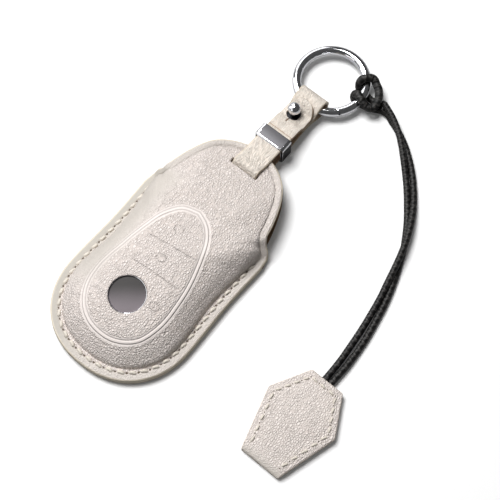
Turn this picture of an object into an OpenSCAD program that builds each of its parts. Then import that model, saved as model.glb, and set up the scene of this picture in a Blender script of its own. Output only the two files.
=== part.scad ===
// Moulded leather cover for a smart key, with a strap, a split ring with a gate, and a corded tag.
// It lies on its back: +Y runs along the cover towards the ring, and +Z is up.
// The origin is at the middle of the footprint of cover, strap and ring, on the table.

/* [Cover] */
// Width across the stitched rim
case_w = 57; // [50:1:66]
// Length from the round tail to the end of the mouth
case_l = 105; // [100:1:112]
// Height of the domed front panel
case_h = 15.9; // [14:0.1:18]
// Length of the stitched part, from the tail
seam_l = 73.8; // [70:0.2:78]
// Radius of the rounded mouth end
mouth_r = 21.4; // [20:0.1:23]
// How far the mouth flares out where the stitching stops
mouth_flare = 3.4; // [2:0.1:4]
// Height of the front panel's free lip at the sides of the mouth
lip_h = 10.5; // [9:0.1:12]
// Height of the front panel's free lip at its end
lip_end_h = 8.6; // [7.8:0.1:9.4]
// Width of the flat rim that carries the stitches
rim_w = 4.6; // [4:0.1:5.5]
// Thickness of the outer leather
leather_t = 1.3; // [1:0.05:1.5]
// Thickness of the lining
lining_t = 0.5; // [0.3:0.05:0.7]
// Rise of the back panel where the strap runs under it
back_rise = 1.9; // [1.85:0.05:2.2]

/* [Badge] */
// Diameter of the round opening for the blank badge
badge_d = 14.7; // [12:0.1:17]
// Distance of the badge's centre from the tail
badge_at = 28.3; // [25:0.1:32]
// Thickness of the badge disc
badge_t = 1; // [0.6:0.1:1.2]

/* [Stitching] */
// Distance from one needle hole to the next on the rim
stitch_pitch = 4; // [3:0.1:6]
// Thread diameter
thread_d = 0.8; // [0.5:0.05:1]
// Distance of the stitch line from the rim's edge
stitch_in = 3.1; // [2.8:0.1:3.8]

/* [Strap] */
// Width of the strap
strap_w = 11.2; // [10:0.1:12]
// Width of the strap where it wraps the ring
loop_w = 12; // [11:0.1:12.4]
// Thickness of the strap leather
strap_t = 1.2; // [1:0.05:1.3]
// Distance of the strap's slots from the mouth's end
slot_in = 10.2; // [9:0.1:12]
// How much wider than the strap the slots are
slot_spare = 1.4; // [0.4:0.1:2]
// Inner radius of the fold that holds the ring
loop_r = 2.95; // [2.9:0.05:3.1]

/* [Keeper] */
// Length of the metal keeper along the strap
keeper_l = 5.5; // [4:0.1:6]
// Distance of the keeper's near edge from the cover's end
keeper_gap = 4.3; // [3.6:0.1:5]
// Wall of the keeper
keeper_wall = 0.8; // [0.6:0.05:1]
// Height of the keeper's top face
keeper_h = 10.7; // [10.5:0.1:11.2]

/* [Stud] */
// Diameter of the ball
ball_d = 5.1; // [4.6:0.1:5.2]
// Diameter of the neck under the ball
neck_d = 3.2; // [2.8:0.1:3.4]
// Diameter of the stud's base flange
stud_base_d = 5.4; // [5.2:0.1:5.8]
// Distance of the stud from the cover's end
stud_gap = 21.6; // [21:0.1:22]

/* [Ring] */
// Outer diameter of the ring
ring_od = 31; // [28:0.5:34]
// Thickness of the ring's wire
wire_d = 3.6; // [3:0.1:3.6]
// Distance of the ring's centre from the cover's end
ring_gap = 42.8; // [42.6:0.1:43.4]
// Sideways place of the ring in the strap's fold
ring_x = 0.7; // [0:0.1:0.8]
// Diameter of the gate's hinge pin
gate_pin_d = 1; // [0.8:0.1:1.4]

/* [Tag] */
// Length of the tag from its fold to the edge where the cord enters
tag_l = 38.5; // [34:0.5:44]
// Width of the tag at its shoulders
tag_w = 30.5; // [26:0.5:34]
// Width of the edge where the cord enters
tag_top_w = 14.2; // [11:0.2:17]
// Width of the tag at its fold
tag_fold_w = 16.8; // [13:0.2:20]
// Distance of the shoulders from the fold
tag_shoulder = 23.7; // [20:0.1:28]
// Thickness of each leaf of the tag
tag_leaf_t = 1.6; // [1.5:0.05:1.8]

/* [Hidden] */

// Facets of round edges
$fn = 64;
// Overrun of every cut past the face that it leaves
cut_over = 1;
// Running gap between leather layers, and between fitted pieces
fit_gap = 0.05;
// Glue line between the leather and its lining
glue_gap = 0.02;
// Height of the table under the object
table_z = 0;

// Colours as the photograph shows them
leather_colour = [0.87, 0.84, 0.79];
strap_colour = [0.9, 0.87, 0.82];
flesh_colour = [0.36, 0.29, 0.2];
thread_colour = [0.9, 0.87, 0.8];
badge_colour = [0.55, 0.54, 0.56];
chrome_colour = [0.8, 0.8, 0.82];
satin_colour = [0.5, 0.5, 0.53];
cord_colour = [0.06, 0.06, 0.06];

// Exponent of the rounded tail outline and of the dome's section, and the waist's depth
tail_power = 2.2;
waist_in = 0.6;
dome_power_tail = 3;
dome_root_tail = 0.6;
dome_power_mouth = 2.6;
dome_root_mouth = 1;
// Length over which the rim's end steps in to the mouth
step_l = 3;
// Width of the even band along the free lip
lip_w = 2.6;
// Length over which the lip climbs from the rim to the mouth
climb_l = 5.2;
// Length over which the lip comes down again towards the mouth's end
drop_l = 9;

// Heights of the layered rim
rim_t = 2 * (leather_t + lining_t);
half_w = case_w / 2;
mouth_cy = case_l - mouth_r;

// Along-axis places of the pieces, from the tail
ring_cy = case_l + ring_gap;
total_l = ring_cy + ring_od / 2;
tail_y = -total_l / 2;
slot_at = case_l - slot_in;
keeper_at = case_l + keeper_gap;
stud_at = case_l + stud_gap;

// Wire, cord and ring heights
cord_d = 2.3;
ring_r = (ring_od - wire_d) / 2;
wire_r = wire_d / 2;
ring_z = loop_r + strap_t + fit_gap;
loop_half = loop_w / 2;
// How far the ring's curve strays along the strap within the fold's width, and the swing's axis
ring_stray = ring_r - sqrt(pow(ring_r, 2) - pow(loop_half + ring_x, 2));
swing_at = ring_cy - ring_r + ring_stray / 2;
fold_at = swing_at + fit_gap * 4;

// Smooth step from 0 to 1
function ease(t) = let (c = max(0, min(1, t))) c * c * (3 - 2 * c);
function mix(a, b, t) = a + (b - a) * t;
function unit(v) = v / norm(v);

// Right half of the cover's outline, from the tail to the mouth's end, as [x, y from the tail]
tail_steps = 12;
mouth_from = -16;
mouth_flare_to = 25;
tail_half = [for (i = [0 : tail_steps])
    let (a = 90 * i / tail_steps)
    [half_w * pow(sin(a), 2 / tail_power), half_w - half_w * pow(cos(a), 2 / tail_power)]];
side_shares = [0.2, 0.4, 0.6, 0.8, 0.93];
side_half = [for (s = side_shares)
    [half_w - waist_in * pow(sin(180 * s), 2), mix(half_w, seam_l, s)]];
step_x = half_w - step_l;
step_steps = 4;
step_half = [for (i = [0 : step_steps])
    let (a = 90 * i / step_steps)
    [step_x + step_l * 0.78 * cos(a), seam_l + step_l * 0.85 * sin(a)]];
function flare(a) = mouth_flare * pow(max(0, mouth_flare_to - a) / (mouth_flare_to - mouth_from), 2);
mouth_angles = [for (a = [mouth_from + 4 : 6 : 86]) a];
mouth_half = [for (a = mouth_angles) [mouth_r * cos(a) + flare(a), mouth_cy + mouth_r * sin(a)]];
half_outline = concat(tail_half, side_half, step_half, mouth_half);
half_n = len(half_outline);
// The whole outline runs round from the tail, up the right side and down the left
outline = concat(half_outline, [[0, case_l]],
    [for (i = [half_n - 1 : -1 : 1]) [-half_outline[i].x, half_outline[i].y]]);
outline_n = len(outline);

// Height of the front panel's edge, the rim's width and the dome's section, at a distance from the tail
function edge_h(y) = rim_t + (lip_h - rim_t) * ease((y - seam_l) / climb_l)
    - (lip_h - lip_end_h) * ease((y - (case_l - drop_l)) / drop_l);
function rim_at(y) = mix(rim_w, lip_w, ease((y - seam_l + 3 * step_l) / (4 * step_l)));
function mouth_share(y) = ease((y - seam_l + step_l) / (case_l - mouth_r * 0.6 - seam_l));

// Centre of the dome, and the shares of the way out at which its rings lie
dome_cy = 46;
ring_shares = [0, 0.2, 0.38, 0.54, 0.68, 0.79, 0.87, 0.93, 0.97, 1];
dome_rings = len(ring_shares);

// A point of the outer skin: share 0 is the dome's centre, 1 the rim's foot and 2 the edge
function skin(p, s) = let (
        away = p - [0, dome_cy],
        foot = 1 - rim_at(p.y) / norm(away),
        m = mouth_share(p.y),
        power = mix(dome_power_tail, dome_power_mouth, m),
        root = mix(dome_root_tail, dome_root_mouth, m),
        flat = max(0, s - 1),
        reach = min(s, 1) * foot + flat * (1 - foot),
        low = edge_h(p.y),
        z = low + (case_h - low) * pow(max(0, 1 - pow(min(s, 1), power)), root))
    [away.x * reach, dome_cy + away.y * reach, z];
function crown_at(y) = let (
        p = y < dome_cy ? outline[0] : [0, case_l],
        foot = 1 - rim_at(p.y) / abs(p.y - dome_cy))
    skin(p, abs(y - dome_cy) / abs(p.y - dome_cy) / foot).z;

// Rings of skin points, from the dome's centre out to the edge of the rim or lip
skin_shares = concat([for (k = [1 : dome_rings - 1]) ring_shares[k]], [1.5, 2]);
skin_n = len(skin_shares);
skin_rings = [for (s = skin_shares) [for (p = outline) skin(p, s)]];

function wrap(i) = (i + outline_n) % outline_n;
function skin_normal(k, i) = let (
        along = skin_rings[k][wrap(i + 1)] - skin_rings[k][wrap(i - 1)],
        out = skin_rings[min(k + 1, skin_n - 1)][i] - skin_rings[max(k - 1, 0)][i])
    unit(cross(out, along));
function sunk(depth) = [for (k = [0 : skin_n - 1])
    [for (i = [0 : outline_n - 1]) skin_rings[k][i] - depth * skin_normal(k, i)]];

// A closed shell between two depths under the outer skin
module skin_shell(top_depth, bottom_depth) {
    top = sunk(top_depth);
    bottom = sunk(bottom_depth);
    top_tip = [0, dome_cy, case_h - top_depth];
    bottom_tip = [0, dome_cy, case_h - bottom_depth];
    points = concat([for (r = top) each r], [top_tip], [for (r = bottom) each r], [bottom_tip]);
    layer = skin_n * outline_n + 1;
    function at(side, k, i) = side * layer + k * outline_n + wrap(i);
    last = skin_n - 1;
    faces = concat(
        [for (k = [0 : last - 1], i = [0 : outline_n - 1]) [at(0, k, i), at(0, k + 1, i), at(0, k + 1, i + 1)]],
        [for (k = [0 : last - 1], i = [0 : outline_n - 1]) [at(0, k, i), at(0, k + 1, i + 1), at(0, k, i + 1)]],
        [for (i = [0 : outline_n - 1]) [layer - 1, at(0, 0, i), at(0, 0, i + 1)]],
        [for (k = [0 : last - 1], i = [0 : outline_n - 1]) [at(1, k, i), at(1, k + 1, i + 1), at(1, k + 1, i)]],
        [for (k = [0 : last - 1], i = [0 : outline_n - 1]) [at(1, k, i), at(1, k, i + 1), at(1, k + 1, i + 1)]],
        [for (i = [0 : outline_n - 1]) [2 * layer - 1, at(1, 0, i + 1), at(1, 0, i)]],
        [for (i = [0 : outline_n - 1]) [at(0, last, i), at(1, last, i), at(1, last, i + 1)]],
        [for (i = [0 : outline_n - 1]) [at(0, last, i), at(1, last, i + 1), at(0, last, i + 1)]]);
    translate([0, tail_y, 0]) polyhedron(points, [for (f = faces) [f[2], f[1], f[0]]], 3);
}

// A strip of even thickness along a path of [y from the tail, z], spread across x
function smooth_path(p, n) = let (last = len(p) - 1) concat([for (i = [0 : last - 1], j = [0 : n - 1])
    let (a = p[max(i - 1, 0)], b = p[i], c = p[i + 1], d = p[min(i + 2, last)], t = j / n)
    ((2 * b) + (c - a) * t + (2 * a - 5 * b + 4 * c - d) * t * t
        + (3 * b - a - 3 * c + d) * t * t * t) / 2], [p[last]]);
function path_side(p, i) = let (v = unit(p[min(i + 1, len(p) - 1)] - p[max(i - 1, 0)])) [-v.y, v.x];
function strip_outline(p, t) = concat([for (i = [0 : len(p) - 1]) p[i] + path_side(p, i) * t / 2],
    [for (i = [len(p) - 1 : -1 : 0]) p[i] - path_side(p, i) * t / 2]);
module strip(path, t, w) {
    translate([-w / 2, tail_y, 0]) rotate([90, 0, 90]) linear_extrude(w) polygon(strip_outline(path, t));
}

// Plan of the cover, and of the strap's slots
module case_plan() {
    translate([0, tail_y]) polygon(outline);
}
slot_l = 2.4;
slot_w = strap_w + slot_spare;
module strap_slot() {
    translate([-slot_w / 2, tail_y + slot_at - slot_l / 2, table_z - cut_over])
        cube([slot_w, slot_l, case_h + 2 * cut_over]);
}

// The stitch line: an inset of the outline's stitched part, walked at even steps
seam_run = concat([for (i = [len(tail_half) + len(side_half) - 1 : -1 : 1]) [-half_outline[i].x, half_outline[i].y]],
    [for (i = [0 : len(tail_half) + len(side_half) - 1]) half_outline[i]]);
function inset_run(p, d) = [for (i = [0 : len(p) - 1])
    let (v = unit(p[min(i + 1, len(p) - 1)] - p[max(i - 1, 0)])) p[i] + d * [-v.y, v.x]];
function run_lengths(p, i = 0, sum = 0) = i == len(p) - 1 ? [sum]
    : concat([sum], run_lengths(p, i + 1, sum + norm(p[i + 1] - p[i])));
function walk(p, lengths, d) = let (
        hits = [for (i = [0 : len(p) - 2]) if (lengths[i] <= d && d <= lengths[i + 1]) i],
        i = len(hits) == 0 ? len(p) - 2 : hits[0])
    mix(p[i], p[i + 1], (d - lengths[i]) / (lengths[i + 1] - lengths[i]));
function even_points(p, pitch) = let (lengths = run_lengths(p), total = lengths[len(p) - 1], n = round(total / pitch))
    [for (i = [0 : n]) walk(p, lengths, total * i / n)];
seam_holes = even_points(inset_run(seam_run, stitch_in), stitch_pitch);

// A row of stitches along a layered edge, seen above and below it: each is a short straight thread
hole_gap_share = 0.14;
module stitch_row(holes, low_z, high_z) {
    for (i = [0 : len(holes) - 2], z = [low_z, high_z]) {
        v = holes[i + 1] - holes[i];
        translate([holes[i].x, holes[i].y, z]) rotate([0, 90, atan2(v.y, v.x)])
            translate([0, 0, norm(v) * hole_gap_share / 2])
                cylinder(h = norm(v) * (1 - hole_gap_share), d = thread_d, $fn = 16);
    }
}

module front_panel() {
    color(leather_colour) difference() {
        skin_shell(0, leather_t);
        translate([0, tail_y + badge_at, 0]) cylinder(h = case_h + cut_over, d = badge_d);
        strap_slot();
    }
}

module front_lining() {
    color(flesh_colour) difference() {
        skin_shell(leather_t + glue_gap, leather_t + lining_t);
        strap_slot();
    }
}

// The back panel is a sheet that is flat on the table and bends up where the strap runs under it
bend_from = mouth_cy - mouth_r * 0.4;
bend_to = mouth_cy + mouth_r * 0.35;
bend_steps = 8;
back_path = concat([[-cut_over, 0]], [for (i = [0 : bend_steps])
    [mix(bend_from, bend_to, i / bend_steps), back_rise * ease(i / bend_steps)]], [[case_l + cut_over, back_rise]]);
module bent_sheet(low, high) {
    profile = concat([for (p = back_path) [p.x, p.y + low]],
        [for (i = [len(back_path) - 1 : -1 : 0]) [back_path[i].x, back_path[i].y + high]]);
    intersection() {
        translate([0, 0, table_z - cut_over]) linear_extrude(case_h) case_plan();
        translate([-half_w - cut_over, tail_y, 0]) rotate([90, 0, 90])
            linear_extrude(case_w + 2 * cut_over) polygon(profile);
    }
}

// Groove that keeps the lower stitches off the table
module stitch_groove() {
    half_groove = thread_d / 2 + fit_gap;
    near = inset_run(seam_run, stitch_in - half_groove);
    far = inset_run(seam_run, stitch_in + half_groove);
    translate([0, tail_y, table_z - cut_over]) linear_extrude(cut_over + thread_d)
        polygon(concat(near, [for (i = [len(far) - 1 : -1 : 0]) far[i]]));
}

module back_panel() {
    color(leather_colour) difference() {
        bent_sheet(0, leather_t);
        strap_slot();
        stitch_groove();
    }
}

module back_lining() {
    color(flesh_colour) difference() {
        bent_sheet(leather_t + glue_gap, leather_t + lining_t);
        strap_slot();
    }
}

module seam_thread() {
    color(thread_colour) translate([0, tail_y, 0])
        stitch_row(seam_holes, table_z + thread_d / 2 + fit_gap, rim_t + thread_d / 5);
}

// The blank disc lies in the front panel's round opening, on the lining, tilted as the dome is there
badge_z = crown_at(badge_at);
badge_tilt = atan2(crown_at(badge_at + badge_d / 2) - crown_at(badge_at - badge_d / 2), badge_d);
badge_rim_t = 0.3;
badge_seat = leather_t - 2 * fit_gap;
module badge_disc() {
    disc_r = badge_d / 2 - 2 * fit_gap;
    color(badge_colour) translate([0, tail_y + badge_at, badge_z]) rotate([badge_tilt, 0, 0])
        translate([0, 0, -badge_seat]) difference() {
            cylinder(h = badge_t, r = disc_r);
            translate([0, 0, badge_t - badge_rim_t]) cylinder(h = cut_over, r = disc_r - badge_rim_t);
        }
}

// The strap is one strip: from the hinge line of its tongue back through the keeper, down through
// both slots, out under the cover, up round the ring and back under the tongue
over_skin = strap_t / 2 + 2 * fit_gap;
tongue_gap = 1.6;
tongue_at = keeper_at + keeper_l + tongue_gap;
stud_low = 3;
stud_mid = stud_low + strap_t + fit_gap;
keeper_floor = 0.15;
front_low = keeper_h - keeper_wall - strap_t / 2;
tongue_hinge_z = front_low - 0.65 * strap_t;
under_z = back_rise - strap_t / 2 - 2 * fit_gap;
down_at = slot_at - 0.4 * strap_t;
function fold_point(a) = [fold_at, ring_z] + (loop_r + strap_t / 2) * [cos(a), sin(a)];
band_top = [[tongue_at - 2 * fit_gap, tongue_hinge_z], [keeper_at + keeper_l, front_low - 0.55 * strap_t],
    [keeper_at, front_low - 0.32 * strap_t], [case_l + strap_t, front_low - 0.12 * strap_t]];
band_over = [for (y = [case_l - strap_t, case_l - 2.9 * strap_t, case_l - 5 * strap_t, slot_at + 1.15 * strap_t])
    [y, crown_at(y) + over_skin]];
band_down = [[slot_at - 2 * fit_gap, crown_at(slot_at) - 0.75 * strap_t], [down_at, lip_end_h],
    [down_at, back_rise + rim_t], [down_at, back_rise + leather_t],
    [slot_at - 0.1 * strap_t, back_rise + 0.2 * strap_t], [slot_at + 0.5 * strap_t, back_rise - 0.45 * strap_t]];
band_under = [[slot_at + 1.25 * strap_t, under_z - 2 * fit_gap], [slot_at + 2.5 * strap_t, under_z],
    [case_l - 2.9 * strap_t, under_z], [case_l - 0.1 * strap_t, under_z + 0.04 * strap_t],
    [case_l + 1.2 * strap_t, under_z + 0.36 * strap_t], [keeper_at, under_z + 0.52 * strap_t],
    [keeper_at + keeper_l, under_z + 0.6 * strap_t], [stud_at - 5 * strap_t, stud_low - 0.33 * strap_t],
    [stud_at - 2.6 * strap_t, stud_low], [stud_at, stud_low], [stud_at + 2.2 * strap_t, stud_low - fit_gap],
    [stud_at + 3.6 * strap_t, stud_low - 0.6 * strap_t], [stud_at + 4.8 * strap_t, stud_low - 1.25 * strap_t]];
band_fold = [for (a = [-112 : 28 : 112]) fold_point(a)];
band_back = [[stud_at + 4.4 * strap_t, stud_mid + 1.75 * strap_t], [stud_at + 3.5 * strap_t, stud_mid + 0.7 * strap_t],
    [stud_at + 2.5 * strap_t, stud_mid + fit_gap], [stud_at + 1.9 * strap_t, stud_mid],
    [stud_at + 1.2 * strap_t, stud_mid], [stud_at, stud_mid], [stud_at - 2.75 * strap_t, stud_mid]];
band_path = smooth_path(concat(band_top, band_over, band_down, band_under, band_fold, band_back), 3);

stud_x = -1.3;
screw_r = 1;
// Plan of the strap: it widens towards the ring
module strap_plan() {
    widen_from = tail_y + stud_at - strap_t;
    widen_to = tail_y + stud_at + 4 * strap_t;
    far = tail_y + total_l;
    polygon([[-strap_w / 2, tail_y], [strap_w / 2, tail_y], [strap_w / 2, widen_from], [loop_w / 2, widen_to],
        [loop_w / 2, far], [-loop_w / 2, far], [-loop_w / 2, widen_to], [-strap_w / 2, widen_from]]);
}
module strap_band() {
    color(strap_colour) difference() {
        intersection() {
            strip(band_path, strap_t, loop_w + cut_over);
            translate([0, 0, table_z]) linear_extrude(case_h + cut_over) strap_plan();
        }
        translate([stud_x, tail_y + stud_at, table_z]) cylinder(h = stud_mid + strap_t, r = screw_r + fit_gap);
    }
}

// The free tongue: it hinges at the keeper and has a hole with a slit that passes the ball
base_t = 0.4;
base_z = stud_mid + strap_t / 2;
tongue_z = base_z + base_t + strap_t / 2 + fit_gap;
tongue_past = 6.5;
tongue_end = stud_at + tongue_past;
tongue_path = smooth_path([[tongue_at, tongue_hinge_z], [tongue_at + 2.2 * strap_t, tongue_hinge_z - 0.38 * strap_t],
    [stud_at - 4.2 * strap_t, tongue_hinge_z - strap_t], [stud_at - 2.5 * strap_t, tongue_z + 0.15 * strap_t],
    [stud_at - 1.2 * strap_t, tongue_z], [stud_at + 1.3 * strap_t, tongue_z],
    [stud_at + 2.3 * strap_t, tongue_z + 0.38 * strap_t], [stud_at + 3.2 * strap_t, tongue_z + 1.2 * strap_t],
    [stud_at + 4.2 * strap_t, tongue_z + 2.1 * strap_t], [tongue_end, tongue_z + 2.5 * strap_t]], 3);
hole_ease = 0.15;
hole_r = ball_d / 2 + hole_ease;
hole_slip = 0.75;
slit_l = 2.2;
slit_w = 0.35;
module tongue_plan() {
    end_r = strap_w / 2;
    translate([-end_r, tail_y + tongue_at]) square([strap_w, tongue_end - end_r * 0.8 - tongue_at]);
    translate([0, tail_y + tongue_end - end_r]) circle(end_r);
}
module strap_tongue() {
    color(strap_colour) difference() {
        intersection() {
            strip(tongue_path, strap_t, strap_w + cut_over);
            translate([0, 0, table_z]) linear_extrude(case_h) tongue_plan();
        }
        translate([stud_x, tail_y + stud_at, table_z]) {
            cylinder(h = case_h, r = hole_r);
            translate([0, -hole_slip, 0]) cylinder(h = case_h, r = hole_r);
            translate([-slit_w / 2, -hole_r - hole_slip - slit_l, 0]) cube([slit_w, slit_l + hole_r, case_h]);
        }
    }
}

keeper_room = 0.7;
keeper_in = strap_w + keeper_room;
keeper_chamfer = 0.35;
module chamfered(w, h, c) {
    polygon([[-w / 2 + c, 0], [w / 2 - c, 0], [w / 2, c], [w / 2, h - c], [w / 2 - c, h], [-w / 2 + c, h],
        [-w / 2, h - c], [-w / 2, c]]);
}
module keeper() {
    color(satin_colour) translate([0, tail_y + keeper_at + keeper_l, table_z + keeper_floor]) rotate([90, 0, 0])
        linear_extrude(keeper_l) difference() {
            chamfered(keeper_in + 2 * keeper_wall, keeper_h - keeper_floor, keeper_chamfer);
            translate([0, keeper_wall]) square_on_floor(keeper_in, keeper_h - keeper_floor - 2 * keeper_wall);
        }
}
module square_on_floor(w, h) {
    translate([-w / 2, 0]) square([w, h]);
}

// Ball stud: base flange on the folded layer, neck, ball, and a blind hole for the screw
neck_l = 2.9;
ball_sink = 0.6;
ball_z = base_z + base_t + neck_l + ball_d / 2 - ball_sink;
screw_hole_l = 2.4;
module ball_stud() {
    color(chrome_colour) translate([stud_x, tail_y + stud_at, 0]) difference() {
        union() {
            translate([0, 0, base_z]) cylinder(h = base_t, d = stud_base_d);
            translate([0, 0, base_z]) cylinder(h = ball_z - base_z, d = neck_d);
            translate([0, 0, ball_z]) sphere(d = ball_d);
        }
        translate([0, 0, base_z - cut_over]) cylinder(h = cut_over + screw_hole_l, r = screw_r + fit_gap / 2);
    }
}

screw_head_t = 0.7;
screw_head_d = 5;
module stud_screw() {
    head_z = stud_low - strap_t / 2 - screw_head_t;
    driver_w = 0.6;
    color(chrome_colour) translate([stud_x, tail_y + stud_at, head_z]) difference() {
        union() {
            cylinder(h = screw_head_t, d = screw_head_d);
            cylinder(h = base_z + screw_hole_l - head_z - fit_gap, r = screw_r);
        }
        translate([-screw_head_d, -driver_w / 2, -cut_over]) cube([2 * screw_head_d, driver_w, cut_over + driver_w / 2]);
    }
}

// Ring with a hinged gate. Angles run anticlockwise from +X about the ring's centre
gate_pin_a = -44;
gate_end_a = -9;
knuckle_r = wire_r + 2 * fit_gap;
gate_tongue_t = 1.2;
gate_side_gap = 0.1;
gate_reach = 2 * ring_r * sin((gate_end_a - gate_pin_a) / 2);
module place_ring() {
    translate([ring_x, tail_y + ring_cy, ring_z]) children();
}
module at_pin() {
    rotate([0, 0, gate_pin_a]) translate([ring_r, 0, 0]) children();
}
module wire_torus() {
    rotate_extrude($fn = 120) translate([ring_r, 0]) circle(wire_r, $fn = 48);
}
module gate_room(extra) {
    far = ring_od;
    end_a = gate_end_a + 12;
    intersection() {
        translate([0, 0, -wire_d]) linear_extrude(2 * wire_d)
            polygon([[0, 0], far * [cos(gate_pin_a), sin(gate_pin_a)], far * [cos(end_a), sin(end_a)]]);
        at_pin() translate([0, 0, -wire_d]) cylinder(h = 2 * wire_d, r = gate_reach + extra);
    }
}
spring_d = 1;
spring_l = 3.6;
spring_wall = 0.25;
spring_back = knuckle_r + 3 * fit_gap;
module spring_place() {
    at_pin() translate([0, -spring_back - spring_l, 0]) rotate([-90, 0, 0]) children();
}
module ring_body() {
    color(chrome_colour) place_ring() difference() {
        union() {
            difference() {
                wire_torus();
                gate_room(gate_side_gap);
            }
            intersection() {
                wire_torus();
                at_pin() translate([0, 0, -wire_d]) cylinder(h = 2 * wire_d, r = knuckle_r);
            }
        }
        at_pin() translate([0, 0, -gate_tongue_t / 2 - gate_side_gap])
            cylinder(h = gate_tongue_t + 2 * gate_side_gap, r = knuckle_r + gate_side_gap);
        at_pin() translate([0, 0, -wire_d]) cylinder(h = 2 * wire_d, d = gate_pin_d);
        spring_place() cylinder(h = spring_l + spring_back, d = spring_d + fit_gap, $fn = 24);
    }
}
module ring_gate() {
    color(chrome_colour) place_ring() difference() {
        union() {
            difference() {
                intersection() {
                    wire_torus();
                    gate_room(0);
                }
                for (side = [-1, 1]) {
                    at_pin() translate([0, 0, side * (wire_d / 2 + gate_tongue_t / 2)])
                        cylinder(h = wire_d, r = knuckle_r + gate_side_gap, center = true);
                }
            }
            intersection() {
                wire_torus();
                at_pin() translate([0, 0, -gate_tongue_t / 2]) cylinder(h = gate_tongue_t, r = knuckle_r);
            }
        }
        at_pin() translate([0, 0, -wire_d]) cylinder(h = 2 * wire_d, d = gate_pin_d + 2 * fit_gap);
    }
}
module gate_pin() {
    pin_l = wire_d - 2 * fit_gap;
    color(chrome_colour) place_ring() at_pin() translate([0, 0, -pin_l / 2]) cylinder(h = pin_l, d = gate_pin_d);
}
module gate_spring() {
    color(satin_colour) place_ring() spring_place() difference() {
        cylinder(h = spring_l, d = spring_d - fit_gap, $fn = 24);
        translate([0, 0, -cut_over]) cylinder(h = spring_l + 2 * cut_over, d = spring_d - 2 * spring_wall, $fn = 24);
    }
}

// A round tube swept along a path, with its two ends square to given directions
cord_sides = 8;
function tangent(p, i, from, to) = i == 0 ? unit(from) : i == len(p) - 1 ? unit(to)
    : unit(unit(p[i + 1] - p[i]) + unit(p[i] - p[i - 1]));
function carried(prev, t) = unit(prev - (prev * t) * t);
function cord_frames(p, from, to, i = 0, prev = [0.1, 0.2, 1]) = i == len(p) ? []
    : let (t = tangent(p, i, from, to), n = carried(prev, t))
        concat([[n, cross(t, n)]], cord_frames(p, from, to, i + 1, n));
module cord_tube(p, r, from, to) {
    frames = cord_frames(p, from, to);
    n = len(p);
    points = [for (i = [0 : n - 1], j = [0 : cord_sides - 1])
        let (a = 360 * j / cord_sides) p[i] + r * (cos(a) * frames[i][0] + sin(a) * frames[i][1])];
    function at(i, j) = i * cord_sides + j % cord_sides;
    faces = concat([[for (j = [0 : cord_sides - 1]) at(0, j)]],
        [[for (j = [cord_sides - 1 : -1 : 0]) at(n - 1, j)]],
        [for (i = [0 : n - 2], j = [0 : cord_sides - 1]) [at(i, j), at(i + 1, j), at(i + 1, j + 1)]],
        [for (i = [0 : n - 2], j = [0 : cord_sides - 1]) [at(i, j), at(i + 1, j + 1), at(i, j + 1)]]);
    polyhedron(points, faces, 4);
}

// Hitch on the ring: [radius, angle, height over the ring's middle], about the ring's centre
hitch_polar = [[22.6, 8.4, -2.8], [20.4, 6.3, -2.8], [18.4, 4, -2.8], [16.6, 2.8, -2.95], [14.66, 2, -2.97],
    [12.74, 0.4, -2.97], [11.18, -0.5, -1.83], [10.58, 1, 0], [11.18, 3, 1.83], [12.74, 1.5, 2.97],
    [14.66, -2, 2.97], [16.6, -3.4, 2.2], [18.7, -2.4, 1.4], [20, 1.4, 1.3], [20, 9.7, 1.3], [19.5, 17.5, 1.3],
    [18.6, 25.3, 1.3], [17.4, 31.8, 1.7], [16.3, 37.4, 2.5], [14.66, 38.5, 2.97], [12.74, 37.5, 2.97],
    [11.18, 34.5, 1.83], [10.58, 29.5, 0], [11.18, 25, -1.83], [12.74, 22, -2.97], [14.66, 19.5, -2.97],
    [16.6, 16, -2.9], [18.4, 14.4, -2.6], [20.5, 13.7, -2], [22.6, 13.8, -0.9]];
ring_place = [ring_x, tail_y + ring_cy, ring_z];
hitch_path = [for (p = hitch_polar) ring_place + [p[0] * cos(p[1]), p[0] * sin(p[1]), p[2]]];
exit_a = [0.96, 0.28, 0];
exit_b = [0.95, -0.05, 0.2];

// Free stretches of the cord, in the object's own coordinates
run_a_inner = [[25.4, 69.6, 1.2], [29.1, 68.2, 1.2], [33, 66.6, 1.2], [37.8, 64.1, 1.2], [43.1, 60.2, 1.2],
    [48, 55.8, 1.2], [52.6, 50.7, 1.2], [56.7, 45, 1.9], [60.2, 38.7, 3.1], [63.1, 32.1, 3.7], [65, 26.4, 3.7],
    [66.6, 20.3, 3.4], [68, 13.9, 2.6], [69.5, 7.2, 1.6], [70.6, 0.2, 1.2], [71.6, -7.1, 1.2], [72.3, -14.5, 1.2],
    [72.8, -21.5, 1.4]];
run_b_inner = [[26.4, 69.9, 3.5], [30, 68, 3.6], [33.6, 65.6, 3.6], [37.7, 62.2, 3.4], [42.1, 58, 2.6],
    [46.3, 53.8, 1.4], [50.7, 48.9, 1.2], [54.7, 43.8, 1.2], [58.5, 38.6, 1.2], [62.1, 32.8, 1.2], [65, 27.4, 1.2],
    [67.4, 21.4, 1.2], [69.7, 14.9, 1.2], [71.8, 7.8, 1.2], [73.3, 0.6, 1.2], [74.6, -6.8, 1.2], [75.4, -14.3, 1.2],
    [75.7, -21.4, 1.4]];
tag_turn = -0.5;
tag_place = [74.1, -30.3, 0];
cord_half_gap = 1.3;
mouth_z = tag_leaf_t;
function tag_point(x, y, z) = tag_place + [x * cos(tag_turn) - y * sin(tag_turn),
    x * sin(tag_turn) + y * cos(tag_turn), z];
into_tag = [sin(tag_turn), -cos(tag_turn), 0];
run_a = concat([hitch_path[0]], run_a_inner, [tag_point(-cord_half_gap, 0, mouth_z)]);
run_b = concat([hitch_path[len(hitch_path) - 1]], run_b_inner, [tag_point(cord_half_gap, 0, mouth_z)]);

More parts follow.
